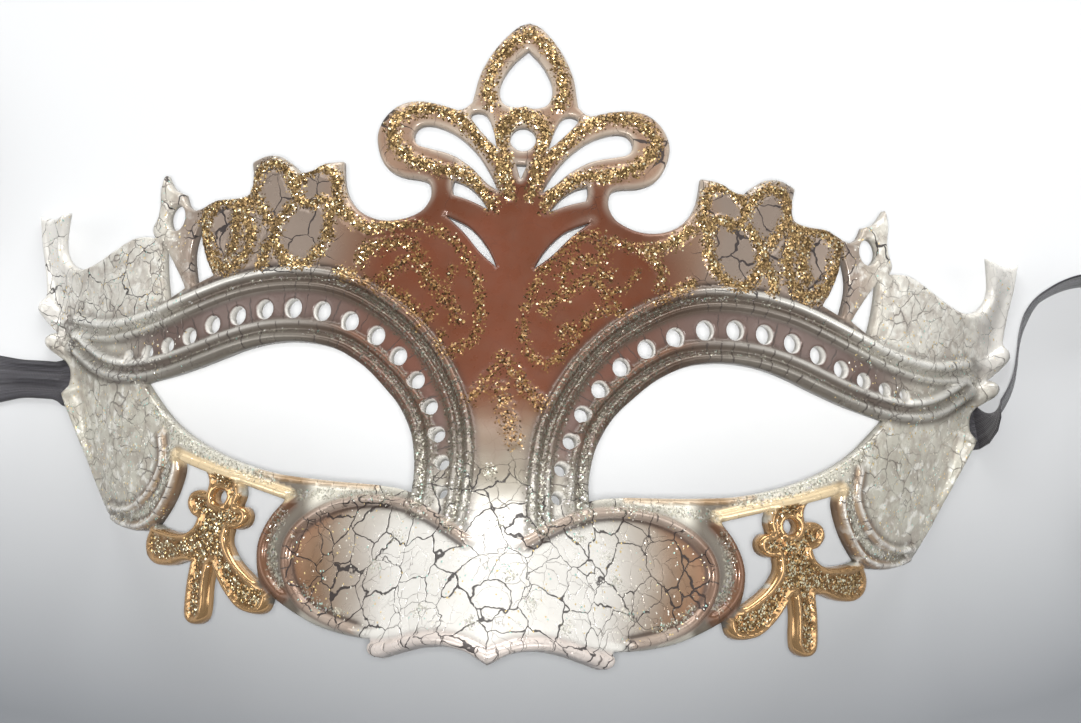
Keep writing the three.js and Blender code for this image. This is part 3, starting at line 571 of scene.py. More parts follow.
def even_grid(low, high, spacing):
    """Rows of points that make equal triangles."""
    grid = []
    for j, y in enumerate(np.arange(low[1], high[1], spacing * math.sqrt(3) / 2)):
        xs = np.arange(low[0] + (j % 2) * spacing / 2, high[0], spacing)
        grid.append(np.column_stack([xs, np.full(len(xs), y)]))
    return np.vstack(grid)


def triangulate(boundary, edge, spacing, rings_in, margin, guides=()):
    """Triangles in plan over the moulding: its boundary, rings just inside it and an even filling."""
    edges = []
    for ring in boundary:
        first, n = len(edges), len(ring)
        edges += [(first + i, first + (i + 1) % n) for i in range(n)]
    extra = [row for inset in rings_in for row in rings_within(boundary, edge, inset)]
    grid = even_grid(boundary[0].min(axis=0), boundary[0].max(axis=0), spacing)
    distance, _ = edge.find(grid)
    kept = distance > margin
    for line, offsets in guides:
        distance, _ = Near(both_sides(line)).find(grid)
        kept &= distance > offsets[-1] + 0.2
        rows = beside(line, offsets)
        distance, _ = edge.find(rows)
        extra.append(rows[distance > 0.55])
    extra = np.vstack([*extra, grid[kept]])
    corners = np.vstack([*boundary, extra[inside(boundary, extra)]])
    corners = [Vector(p) for p in corners.tolist()]
    verts, _, faces, *_ = delaunay_2d_cdt(corners, edges, [], 0, 1e-7, False)
    xy = np.array([v[:] for v in verts])
    tri = np.array([f for f in faces if len(f) == 3])
    # every triangle counter-clockwise, and none outside the moulding
    a, b, c = xy[tri[:, 0]], xy[tri[:, 1]], xy[tri[:, 2]]
    signed = (b[:, 0] - a[:, 0]) * (c[:, 1] - a[:, 1]) - (b[:, 1] - a[:, 1]) * (c[:, 0] - a[:, 0])
    tri[signed < 0] = tri[signed < 0][:, ::-1]
    on_edge, _ = edge.find(xy)
    doubtful = np.all(on_edge[tri] < 1e-3, axis=1)
    keep = np.abs(signed) > 1e-9
    keep[doubtful] &= inside(boundary, xy[tri[doubtful]].mean(axis=1))
    return xy, tri[keep]


def boundary_edges(tri):
    """Directed edges that one triangle only uses."""
    edges = np.vstack([tri[:, [0, 1]], tri[:, [1, 2]], tri[:, [2, 0]]])
    directed = {(a, b) for a, b in edges.tolist()}
    return [(a, b) for a, b in directed if (b, a) not in directed]


def signed_distance(line, side, y):
    """Distance in plan from a line of the right half, negative to its right as it runs outwards."""
    path = spline(line, LINE_STEP)
    ahead = np.gradient(path, axis=0)
    xy = np.column_stack([side, y])
    distance, index = Near([path]).find(xy)
    off = xy - path[index]
    return distance * np.sign(ahead[index, 0] * off[:, 1] - ahead[index, 1] * off[:, 0])


def ridge(distance, centre, radius, height):
    """A round bead's height over the surface at a distance from its line."""
    q = np.clip(1 - ((distance - centre) / radius) ** 2, 0, 1)
    return height * np.sqrt(q)


def make_mesh(name, verts, faces, material):
    mesh = bpy.data.meshes.new(name)
    mesh.from_pydata((verts * MM).tolist() if isinstance(verts, np.ndarray) else verts, [], faces)
    mesh.update()
    obj = bpy.data.objects.new(name, mesh)
    bpy.context.scene.collection.objects.link(obj)
    mesh.materials.append(material)
    return obj


def put_floats(obj, name, values):
    layer = obj.data.attributes.new(name, "FLOAT", "POINT")
    layer.data.foreach_set("value", np.asarray(values, dtype=np.float32))


def put_colours(obj, name, values):
    layer = obj.data.color_attributes.new(name, "FLOAT_COLOR", "POINT")
    layer.data.foreach_set("color", np.asarray(values, dtype=np.float32).ravel())


def clumps(xy, scale, seed):
    """Smooth noise of about -1 to 1 over the plan."""
    return np.array([noise.noise((px * scale, py * scale, seed)) for px, py in xy.tolist()])


def band(distance, half_width, soft=0.6):
    """1 within half_width of a line, fading over twice soft."""
    return 1 - smoothstep(half_width - soft, half_width + soft, distance)


def fall(value, high, low):
    """1 below low, 0 above high."""
    return 1 - smoothstep(low, high, value)


def line_field(lines, xy, mirrored=True):
    """Distance to the nearest of lines as a share of that line's half width."""
    least = np.full(len(xy), 99.0)
    for line, half_width in lines:
        paths = both_sides(line, 0.2) if mirrored else [spline(line, 0.2)]
        distance, _ = Near(paths).find(xy)
        least = np.minimum(least, distance / half_width)
    return least


def paint_shell(xy, side, near, ridges, pendant, in_oval):
    """The airbrushed colours by place in plan, with painted highlights and painted shade among them, laid
    one over the other.
    """
    y = xy[:, 1]
    cloud = clumps(xy, 0.11, 4.2) * 2.2
    colours = np.tile(np.array(lin(*PEARL)[:3]), (len(xy), 1))

    def lay(colour, share):
        nonlocal colours
        share = np.clip(share, 0, 1)[:, None]
        colours = colours * (1 - share) + np.array(lin(*colour)[:3]) * share

    # brow, forehead and the band of dots
    lay(TAUPE, fall(side + cloud, 62, 50) * smoothstep(12, 18, y))
    lay(HUMP, smoothstep(27, 33, side + cloud) * fall(side, 60, 54) * smoothstep(17, 20, y))
    land = smoothstep(29, 32, side) * (near["oval"] > 0.6) * (1 - in_oval)
    lay(PATINA, 0.9 * band(near["frame"], 4.6, 0.8) * land)
    between_lobes = band(near["outer"] - 0.9, 0.5, 0.4) * (near["inner"] > 0.6) * (side < 68)
    lay(PATINA, 0.8 * between_lobes)
    radius = np.hypot(side / 31, (y - 15) / np.where(y > 15, 27, 25)) + cloud * 0.02
    lay(BROWN, fall(radius, 1.12, 0.72))
    in_band = band(near["dots"], 3.4, 0.6)
    lay(MAUVE, in_band * fall(side, 74, 58) * smoothstep(-19, -9, y))
    lay(BROWN, 0.6 * in_band * fall(side, 31, 20) * smoothstep(-5, 4, y))

    # nose, side panels and ovals
    bridge = fall(side, 10, 5)
    lay(TAN, bridge * fall(y + cloud, 2, -11))
    lay(NOSE_GREY, bridge * fall(y + cloud, -4, -16))
    lay(WHITE, fall(y + cloud, -15, -25) * fall(side, 30, 16))
    tips = np.maximum(0.45, smoothstep(74, 82, side))
    lay(WHITE, tips * smoothstep(56, 64, side) * smoothstep(10, 18, y))
    lay(SAGE, 0.35 * smoothstep(54, 62, side) * fall(y, 6, -4))
    lay(OVAL_BROWN, in_oval * smoothstep(14, 30, side + cloud))
    # painted shade, in brown, just inside each oval's rim, towards its outer end and along its top
    lay(OVAL_RIM_SHADE, in_oval * 0.8 * fall(near["oval"], 4.5, 0.4) * smoothstep(23, 31, side))
    corner = in_oval * fall(near["oval"], 2.8, 0.4) * smoothstep(16, 26, side) * smoothstep(-28, -22, y)
    lay(OVAL_RIM_SHADE, 0.7 * corner)

    # crown paler towards its edges; painted shade in the creases beside the beads; a dark seam line above
    # the upper rail
    paler_edges = smoothstep(20, 24, y) * fall(side, 60, 54) * fall(near["edge"] + 0.4 * cloud, 1.2, 0.1)
    lay(PEARL, 0.36 * paler_edges * smoothstep(26, 36, y))
    crease_shade = np.exp(-((near["ridge"] - 0.3) / 0.6) ** 2)
    lay(SEAM_AND_CREASE_SHADE, 0.45 * crease_shade * (ridges < 0.05))
    seam = np.exp(-((near["upper"] - 2.3) / 0.34) ** 2) * smoothstep(25, 30, side) * fall(side, 62, 56)
    lay(SEAM_AND_CREASE_SHADE, seam * (0.4 + 0.6 * (cloud > -0.4)))

    # rails: painted shade on the flanks, painted highlights along the bead tops
    on_rails = fall(near["rails"], 2.5, 1.7)
    pale_ends = np.where(near["upper"] ** 2 < near["lower"] ** 2, 0.55, 0.2) * smoothstep(50, 64, side)
    lay(SHADED_FLANK, (0.9 - pale_ends) * on_rails)
    lay(UMBER, on_rails * fall(side, 38, 24) * smoothstep(-12, -4, y))
    for name, beads in RAIL_BEADS.items():
        for centre, radius, _, tones in beads:
            lit = np.exp(-((near[name] - centre - 0.12) / (0.62 * radius)) ** 2)
            bottom = fall(y, -12, -18)
            tone = np.maximum(np.interp(side, BEAD_PLACES, tones), 0.3 * bottom)
            lay(HIGHLIGHT, lit * tone)
            if centre > 1:
                lay(RUST, 0.45 * lit * fall(side, 32, 24) * smoothstep(-7, 2, y))

    # the other beads, with painted highlights on the lobes' bead crests; the dots' edges painted white as
    # painted light; the pendants
    on_rim = band(near["oval"], 0.85, 0.25)
    lay(RIM, on_rim)
    lay(COPPER, on_rim * smoothstep(27, 33, side) * 0.8)
    lay(LIP, band(near["lip"], 1.6, 0.4) * 0.9)
    lay(COPPER, band(near["frame"], 1.2, 0.4))
    for name in ("outer", "inner"):
        lay(COPPER, 0.45 * band(near[name], 1.05, 0.3) * fall(side, 66, 60))
        lay(TAN_GOLD, 0.6 * band(near[name], 0.75, 0.3) * fall(side, 67, 60))
        # white along each lobe bead's crest: a painted highlight
        lay(WHITE, 0.95 * band(near[name], 0.3, 0.22))
    lay(TAN_GOLD, 0.6 * band(near["lid"], 0.5, 0.25))
    lay(PALE_GOLD, band(near["bar"], 1.2, 0.3))
    # the dots' edges painted white: painted light, as bright as the lit floor seen through them
    lay(WHITE, (near["edge"] < 0.05) * (near["dots"] < 2))
    lay(GOLD, pendant)
    lay(AMBER, pendant * smoothstep(0.85, 1.4, near["edge"]))
    return colours


def measure(xy, side, from_edge):
    """Distances to the named lines, the run along the nearest one and the raised beads' height."""
    near = {"edge": from_edge}
    along = np.zeros(len(xy))
    least = np.full(len(xy), 99.0)
    ridges = np.zeros(len(xy))
    for name, (line, reach, height) in LINES.items():
        near[name], index = Near(both_sides(line)).find(xy)
        ridges = np.maximum(ridges, ridge(near[name], 0, reach, height))
        closer = near[name] / reach < least
        least = np.where(closer, near[name] / reach, least)
        along = np.where(closer, index * LINE_STEP, along)
    near["rails"] = np.minimum(near["upper"], near["lower"])
    for name, beads in RAIL_BEADS.items():
        near[name] = signed_distance(LINES[name][0], side, xy[:, 1])
        for centre, radius, height, _ in beads:
            ridges = np.maximum(ridges, ridge(near[name], centre, radius, height))
    outside = [near[name] - reach for name, reach in CREASE_SHADE_AT.items()]
    outside += [np.maximum(near[name] - RAIL_OUTSIDE, -RAIL_INSIDE - near[name]) for name in RAIL_BEADS]
    near["ridge"] = np.min(outside, axis=0)
    return near, along, ridges


def within(loop, side, y):
    return np.where(inside([np.array(loop, float)], np.column_stack([side, y])), 1.0, 0.0)


def front_relief(xy, side, near, ridges, groove, gold, pendant, faint):
    """Height of beads, knobs, glue and grain over the shell's form."""
    y = xy[:, 1]
    thin = 1 - 0.7 * faint
    glue = np.sqrt(np.clip(1 - gold ** 2 * np.sign(gold), 0, 1))
    grain = np.random.default_rng(GRAIN_SEED).uniform(-1, 1, len(xy))
    uneven = GLUE_HEIGHT + GLUE_UNEVEN * clumps(xy, 1.6, 5.1)
    thick = np.where(pendant > 0.5, PENDANT_GLUE, uneven * thin)
    outer = smoothstep(58, 66, side)
    relief = ridges - GROOVE_DEPTH * groove + (0.04 + 0.1 * outer) * clumps(xy, 0.35, 3.3)
    relief += 0.14 * outer * clumps(xy, 0.9, 6.1) * (1 - np.clip(ridges * 2, 0, 1))
    for ax, ay, bx, by, radius in KNOBS:
        dx, dy = bx - ax, by - ay
        run = np.clip(((side - ax) * dx + (y - ay) * dy) / (dx ** 2 + dy ** 2), 0, 1)
        away = np.hypot(side - ax - run * dx, y - ay - run * dy)
        relief = np.maximum(relief, ridge(away, 0, radius, KNOB_HEIGHT))
    pendant_edge = ridge(near["edge"], 0.55, 0.5, 0.55)
    relief = np.where(pendant > 0.5, np.maximum(relief, pendant_edge), relief)
    return relief + glue * thick + grain * GRAIN_HEIGHT * np.clip(glue * 2, 0, 1) * thin


def back_skin(xy, edge):
    """The inner face, a shell's thickness behind the front and clear of the table and the ribbons."""
    x, y = xy[:, 0], xy[:, 1]
    from_edge, _ = edge.find(xy)
    lift = np.where(from_edge < 0.01, 0.25, 0.0)
    skin = np.column_stack([x, y, front_height(x, y)])
    skin -= front_normal(x, y) * (SHELL_THICKNESS - lift)[:, None]
    recess = RIBBON_LIFT + RIBBON_THICKNESS + TOUCH_GAP
    recess = recess * (1 - smoothstep(*RECESS_HALF, np.abs(y - RECESS_MIDDLE)))
    recess = np.where(np.abs(x) > GLUED_FROM - 2, recess, 0)
    skin[:, 2] = np.maximum(skin[:, 2], np.maximum(recess, 0.01 + lift * 0.6))
    return skin


def join_skins(front_xy, front_tri, back_xy, back_tri):
    """Faces of both skins and of the wall between their edges, and the front corner over each back one."""
    count = len(front_xy)
    faces = front_tri.tolist() + (back_tri[:, ::-1] + count).tolist()
    key = {(round(x, 4), round(y, 4)): i for i, (x, y) in enumerate(back_xy.tolist())}
    under = {}
    for a, b in boundary_edges(front_tri):
        ka, kb = [key[tuple(round(v, 4) for v in front_xy[i].tolist())] for i in (a, b)]
        under[ka], under[kb] = a, b
        faces.append((b, a, count + ka))
        faces.append((b, count + ka, count + kb))
    return faces, under


def glitter_fields(xy, side, near):
    """How densely silver glitter is strewn."""
    silver = np.zeros(len(xy))
    for line, half_width, density in SILVER_LINES:
        distance, _ = Near(both_sides(line)).find(xy)
        silver = np.maximum(silver, density * band(distance, half_width, 0.7))
    strewn = band(near["rails"], 0.6, 0.3) * (0.3 + 0.4 * fall(side, 34, 20))
    spill = band(near["rails"], 2.3, 0.6) * 0.46 * fall(side, 30, 18)
    silver = np.maximum(silver, np.maximum(strewn, spill))
    for px, py in NOSE_SPARKLES:
        silver = np.maximum(silver, 0.62 * fall(np.hypot(xy[:, 0] - px, xy[:, 1] - py), 2.0, 0.4))
    return silver


def crack_fields(xy, side, pendant, in_oval):
    """How open the coat's cracks and its finer crazing are."""
    y = xy[:, 1]
    left = xy[:, 0] < 0
    panel = smoothstep(52, 60, side)
    nose = fall(y, -8, -20) * fall(side, 27, 20)
    hump = smoothstep(27, 31, side) * fall(side, 57, 54) * smoothstep(18.5, 20, y)
    crown = smoothstep(28, 32, y) * fall(side, 26, 24)
    upper_panel = smoothstep(10, 16, y) * smoothstep(56, 62, side)
    lower_panel = fall(y, 6, 0) * smoothstep(58, 64, side)
    chipped = np.zeros(len(xy))
    for px, py, reach in CHIPPED_TIPS:
        chipped = np.maximum(chipped, fall(np.hypot(side - px, y - py), reach + 1, reach - 1))
    crack = np.max([0.95 * in_oval, 0.9 * nose, 0.9 * hump, (0.35 + 0.3 * left) * upper_panel,
                    0.3 * left * lower_panel, 0.25 * crown, chipped], axis=0)
    craze = np.max([(0.85 + 0.3 * left) * panel, 0.5 * nose, 0.4 * in_oval, 0.6 * chipped], axis=0)
    craze *= 1 - 0.6 * smoothstep(74, 82, side) * smoothstep(16, 24, y)
    return crack * (1 - pendant), craze * (1 - pendant)


def build_shell(material):
    boundary = rings()
    fine_rings = [refine(ring, LINE_STEP) for ring in boundary]
    edge = Near(fine_rings)
    guides = [(line, RAIL_ROWS) for line in (UPPER_RAIL, LOWER_RAIL)]
    guides += [(line, BEAD_ROWS) for line in (OVAL_RIM, FRAME_BEAD, LOWER_BAR, LOBE_INNER, LOBE_OUTER)]
    xy, front_tri = triangulate(boundary, edge, FRONT_SPACING, EDGE_RINGS, FRONT_MARGIN, guides)
    back_xy, back_tri = triangulate(boundary, edge, BACK_SPACING, (), BACK_MARGIN)

    # where each corner lies
    x, y = xy[:, 0], xy[:, 1]
    side = np.abs(x)
    from_edge, nearest = edge.find(xy)
    near, along, ridges = measure(xy, side, from_edge)
    pendant = within(PENDANT, side, y)
    in_oval = within(OVAL_RIM + [(0, -40), (0, -27)], side, y)
    panel = smoothstep(52, 60, side)
    faint = fall(np.hypot(side / 30, (y - 12) / np.where(y > 12, 20, 26)), 1.1, 0.8)
    groove = np.exp(-((near["oval"] - 1.15) / 0.32) ** 2) * in_oval
    groove = np.maximum(groove, 0.3 * band(near["rails"], 0.4, 0.3))
    for name in ("inner", "outer", "frame"):
        groove = np.maximum(groove, 0.4 * np.exp(-((near[name] - 1.0) / 0.3) ** 2))

    # gold glue: 0 at the middle of a line, 1 at its edge
    ragged = 0.3 * clumps(xy, 0.8, 1.3) + 0.18 * clumps(xy, 2.3, 7.7)
    gold = np.minimum(line_field(GOLD_LINES, xy), line_field(FOREHEAD_STROKES, xy, False)) + ragged
    channel = np.where(pendant > 0.5, np.clip((1.65 - from_edge) / 0.7, 0, 3), 99)
    gold = np.minimum(gold, channel + 0.5 * ragged)

    # both skins, the front's edges rounded over
    relief = front_relief(xy, side, near, ridges, groove, gold, pendant, faint)
    rounding = np.where(nearest < len(fine_rings[0]), EDGE_RADIUS, HOLE_EDGE_RADIUS)
    to_edge = np.minimum(from_edge, rounding)
    drop = rounding - np.sqrt(rounding ** 2 - (rounding - to_edge) ** 2)
    front = np.column_stack([x, y, front_height(x, y)]) + front_normal(x, y) * (relief - drop)[:, None]
    verts = np.vstack([front, back_skin(back_xy, edge)])
    faces, under = join_skins(xy, front_tri, back_xy, back_tri)
    verts[:, 1] += PLAN_SHIFT
    obj = make_mesh("mask_moulding", verts, faces, material)

    # what the material reads at each corner
    off_rails = (1 - band(near["rails"], 2.3, 0.3)) * (1 - band(near["dots"], 2.8, 0.4))
    crack, craze = crack_fields(xy, side, pendant, in_oval)
    metal = np.clip(pendant + 0.6 * band(near["bar"], 1.2, 0.3) + 0.4 * band(near["lid"], 0.55, 0.3), 0, 1)
    metal = np.maximum(metal, 0.3 * band(near["frame"], 1.2, 0.4))
    raised = np.clip(ridges * 2.5, 0, 1)
    pearly = np.clip(1 - faint * (1 - raised), 0, 1) * (1 - 0.7 * band(near["dots"], 3.2, 0.4))
    pearly *= (1 - 0.45 * panel * (ridges < 0.1)) * (1 - 0.6 * smoothstep(26, 32, y) * fall(side, 30, 26))
    ditch = smoothstep(29, 32, side) * (near["oval"] > 0.6) * (1 - in_oval) * band(near["frame"], 4.6, 0.8)
    ticked = np.maximum(raised, band(near["dots"], 2.6, 0.4)) * (1 - metal)
    ticked = np.maximum(ticked, band(near["rails"], 2.0, 0.3) * smoothstep(24, 32, side))
    fields = {
        "mottled": panel * fall(side + 0.5 * y, 98, 86) * (1 - pendant) * off_rails,
        "pearly": pearly * (1 - 0.8 * ditch),
        "inside": np.zeros(len(xy)),
        "glitter": np.clip(1 - gold / 2, 0, 1) * (1 - 0.3 * pendant),
        "silver": glitter_fields(xy, side, near),
        "crack": crack,
        "fleck": np.maximum(panel, 0.7 * in_oval) * (1 - pendant),
        "craze": craze,
        "faint": faint,
        "groove": groove,
        "metal": metal,
        "ticked": ticked,
        "along": along,
    }

    # the paint runs over the edge and a little way down the wall, at 0.85 of its brightness except round the
    # dots, whose walls keep the painted white
    colours = paint_shell(xy, side, near, np.clip(ridges * 1.35, 0, 1), pendant, in_oval)
    back_colours = np.tile(np.array(lin(*PEARL)[:3]), (len(back_xy), 1))
    back_inside = np.ones(len(back_xy))
    for k, a in under.items():
        back_inside[k] = 0.6
        back_colours[k] = colours[a] * (0.85 if near["dots"][a] > 2.2 else 1)
    for name, values in fields.items():
        rest = back_inside if name == "inside" else np.zeros(len(back_xy))
        put_floats(obj, name, np.concatenate([values, rest]))
    everything = np.vstack([colours, back_colours])
    put_colours(obj, "paint", np.column_stack([everything, np.ones(len(everything))]))
    obj.data.polygons.foreach_set("use_smooth", [True] * len(obj.data.polygons))
    return obj


def ribbon_path(ribbon):
    """Centreline points in plan with the turn from flat to on edge, in millimetres and radians."""
    line = spline(ribbon["route"], 0.9)
    cx, cy = ribbon["centre"]
    start = math.radians(ribbon["start"])
    steps = round(ROLL_TURNS * 60)
    spiral = []
    for k in range(1, steps + 1):
        turn = k / steps * ROLL_TURNS
        radius = ROLL_REACH - ROLL_PITCH * turn
        angle = start - 2 * math.pi * turn
        spiral.append((cx + radius * math.cos(angle), cy + radius * math.sin(angle)))
    path = np.vstack([line, spiral])
    turns = ribbon["turns"]
    degrees = np.full(len(path), float(turns[0][1]))
    for (first, before), (last, after) in zip(turns, turns[1:]):
        share = smoothstep(0, 1, (path[:, 0] - first) / (last - first))
        share[len(line):] = 1
        degrees += (after - before) * share
    return path, np.radians(degrees)


def build_ribbon(name, ribbon, material):
    path, turn = ribbon_path(ribbon)
    ahead = np.gradient(path, axis=0)
    ahead /= np.linalg.norm(ahead, axis=1, keepdims=True)
    flat = np.column_stack([-ahead[:, 1], ahead[:, 0], np.zeros(len(path))])
    up = np.array([0, 0, 1.0])
    wide = flat * np.cos(turn)[:, None] + up * np.sin(turn)[:, None]
    thick = -flat * np.sin(turn)[:, None] + up * np.cos(turn)[:, None]
    half_w, half_t = RIBBON_WIDTH / 2, RIBBON_THICKNESS / 2 * 0.8
    height = np.abs(wide[:, 2]) * half_w + np.abs(thick[:, 2]) * half_t + RIBBON_LIFT
    centre = np.column_stack([path, height])
    across = np.linspace(-1, 1, 19)
    section = [(a, 1) for a in across] + [(a, -1) for a in across[::-1]]
    count = len(section)
    verts = []
    along = np.concatenate([[0], np.cumsum(np.linalg.norm(np.diff(centre, axis=0), axis=1))])
    out = np.abs(path[:, 0])
    gather = ribbon["gather"] * smoothstep(79.2, 81.5, out) * (1 - smoothstep(86, 94, out))
    for c, w, t, g in zip(centre, wide, thick, gather):
        for a, b in section:
            pleat = PLEAT_HEIGHT * g * (1 + math.cos(2.5 * math.pi * a + 0.6))
            verts.append(c + w * half_w * (1 - g) * a + t * (half_t * b + pleat))
    verts = np.array(verts)
    verts[:, 1] += PLAN_SHIFT
    faces = []
    for i in range(len(path) - 1):
        for k in range(count):
            a, b = i * count + k, i * count + (k + 1) % count
            faces.append((a, b, b + count, a + count))
    faces.append(tuple(range(count))[::-1])
    faces.append(tuple(range((len(path) - 1) * count, len(path) * count)))
    obj = make_mesh(name, verts, faces, material)
    put_floats(obj, "along", np.repeat(along, count))
    put_floats(obj, "across", np.tile([a for a, _ in section], len(path)))
    centre[:, 1] += PLAN_SHIFT
    return obj, centre * MM, along[-1] * MM


class Material:
    """A material's node tree, built up by short calls."""

    def __init__(self, name):
        self.material = bpy.data.materials.new(name)
        self.material.use_nodes = True
        self.tree = self.material.node_tree
        self.shader = self.tree.nodes["Principled BSDF"]

    def put(self, socket, value):
        if isinstance(value, bpy.types.NodeSocket):
            self.tree.links.new(value, socket)
        else:
            socket.default_value = value

    def set(self, **values):
        for name, value in values.items():
            self.put(self.shader.inputs[name.replace("_", " ")], value)

    def add(self, kind, inputs, output=0, **settings):
        node = self.tree.nodes.new(kind)
        for name, value in settings.items():
            setattr(node, name, value)
        for name, value in inputs.items():
            self.put(node.inputs[name], value)
        return node.outputs[output]

    def math(self, operation, a, b=0.0, clamp=False):
        return self.add("ShaderNodeMath", {0: a, 1: b}, operation=operation, use_clamp=clamp)

    def times(self, a, b, clamp=False):
        return self.math("MULTIPLY", a, b, clamp)

    def plus(self, a, b):
        return self.math("ADD", a, b)

    def minus(self, a, b):
        return self.math("SUBTRACT", a, b)

    def most(self, first, *others):
        for other in others:
            first = self.math("MAXIMUM", first, other)
        return first

    def vector(self, operation, a, b=(0, 0, 0)):
        return self.add("ShaderNodeVectorMath", {0: a, 1: b}, operation=operation)

    def scaled(self, vector, by):
        return self.add("ShaderNodeVectorMath", {0: vector, "Scale": by}, operation="SCALE")

    def ramp(self, value, low, high, to_low=0.0, to_high=1.0, kind="LINEAR"):
        inputs = {0: value, 1: low, 2: high, 3: to_low, 4: to_high}
        return self.add("ShaderNodeMapRange", inputs, interpolation_type=kind)

    def mix(self, factor, a, b):
        """Two colours mixed; each is a socket or screen values."""
        node = self.tree.nodes.new("ShaderNodeMix")
        node.data_type = "RGBA"
        for index, value in ((0, factor), (6, a), (7, b)):
            self.put(node.inputs[index], lin(*value) if isinstance(value, tuple) else value)
        return node.outputs[2]

    def split(self, kind, value):
        """The three parts of a colour or a place."""
        node = self.tree.nodes.new(kind)
        self.put(node.inputs[0], value)
        return node.outputs[:3]

    def steps(self, value, stops):
        """A colour ramp with hard steps: each colour from its position on."""
        node = self.tree.nodes.new("ShaderNodeValToRGB")
        ramp = node.color_ramp
        ramp.interpolation = "CONSTANT"
        while len(ramp.elements) < len(stops):
            ramp.elements.new(0.5)
        for element, (position, colour) in zip(ramp.elements, stops):
            element.position = position
            element.color = lin(*colour)
        self.put(node.inputs[0], value)
        return node.outputs[0]

    def value(self, name):
        return self.add("ShaderNodeAttribute", {}, "Fac", attribute_name=name)

    def colour(self, name):
        return self.add("ShaderNodeAttribute", {}, "Color", attribute_name=name)

    def place(self):
        return self.add("ShaderNodeTexCoord", {}, "Object")

    def noise(self, where, scale, detail=2.0, output=0):
        return self.add("ShaderNodeTexNoise", {"Vector": where, "Scale": scale, "Detail": detail}, output)

    def cells(self, where, scale, feature="F1", output="Distance", dimensions="3D"):
        inputs = {"Scale": scale, "W" if dimensions == "1D" else "Vector": where}
        settings = {"feature": feature, "voronoi_dimensions": dimensions}
        return self.add("ShaderNodeTexVoronoi", inputs, output, **settings)

    def lines(self, width, distance, sharpness):
        """1 where a line of the given half width runs, by the distance from it."""
        return self.times(self.minus(width, distance), sharpness, clamp=True)

    def bump(self, height, distance, strength=1.0, normal=None):
        inputs = {"Strength": strength, "Distance": distance, "Height": height}
        if normal:
            inputs["Normal"] = normal
        return self.add("ShaderNodeBump", inputs)


def crackle(m, place):
    """Wide cracks, finer crazing between them, cracks across the rails and hair lines in the forehead."""
    swirl = m.vector("SUBTRACT", m.noise(place, 210, 3, "Color"), (0.5, 0.5, 0.5))
    bent = m.vector("ADD", place, m.scaled(swirl, 0.0042))
    spread = m.noise(place, 120, 2)
    wide = m.cells(bent, CRACKS, "DISTANCE_TO_EDGE")
    crack = m.lines(m.times(m.value("crack"), m.ramp(spread, 0.35, 0.65, 0.016, 0.042)), wide, 70)
    fine = m.cells(m.vector("ADD", bent, (0.31, 0.17, 0.05)), CRAZING, "DISTANCE_TO_EDGE")
    craze = m.lines(m.times(m.value("craze"), m.ramp(spread, 0.3, 0.7, 0.06, -0.01)), fine, 30)
    wobble = m.minus(m.times(m.noise(place, 700, 2), 0.9), 0.45)
    across = m.cells(m.plus(m.value("along"), wobble), RAIL_CRACKS, "DISTANCE_TO_EDGE", dimensions="1D")
    tick_width = m.ramp(m.noise(place, 260, 1), 0.36, 0.58, 0.0, 0.055)
    tick = m.lines(m.times(m.value("ticked"), tick_width), across, 40)
    hair = m.lines(m.times(m.value("faint"), 0.02), m.cells(bent, 210, "DISTANCE_TO_EDGE"), 50)
    return crack, craze, tick, hair


def glitter(m, place):
    """Where gold and silver flakes lie; every flake has its own colour and tilt."""
    flakes = m.cells(place, FLAKES, "F1", "Color")
    chances = m.split("ShaderNodeSeparateColor", flakes)
    edge_noise = m.times(m.minus(m.noise(place, 900, 2), 0.5), 0.55)
    scatter = m.times(m.minus(chances[2], 0.5), 0.55)
    loose = m.plus(edge_noise, scatter)
    cover = m.minus(1.0, m.times(m.value("faint"), 0.28))
    gold = m.lines(m.plus(m.times(m.value("glitter"), cover), loose), 0.5, 12)
    silver = m.lines(m.plus(m.value("silver"), m.times(loose, 1.3)), 0.5, 12)
    return flakes, chances, gold, silver


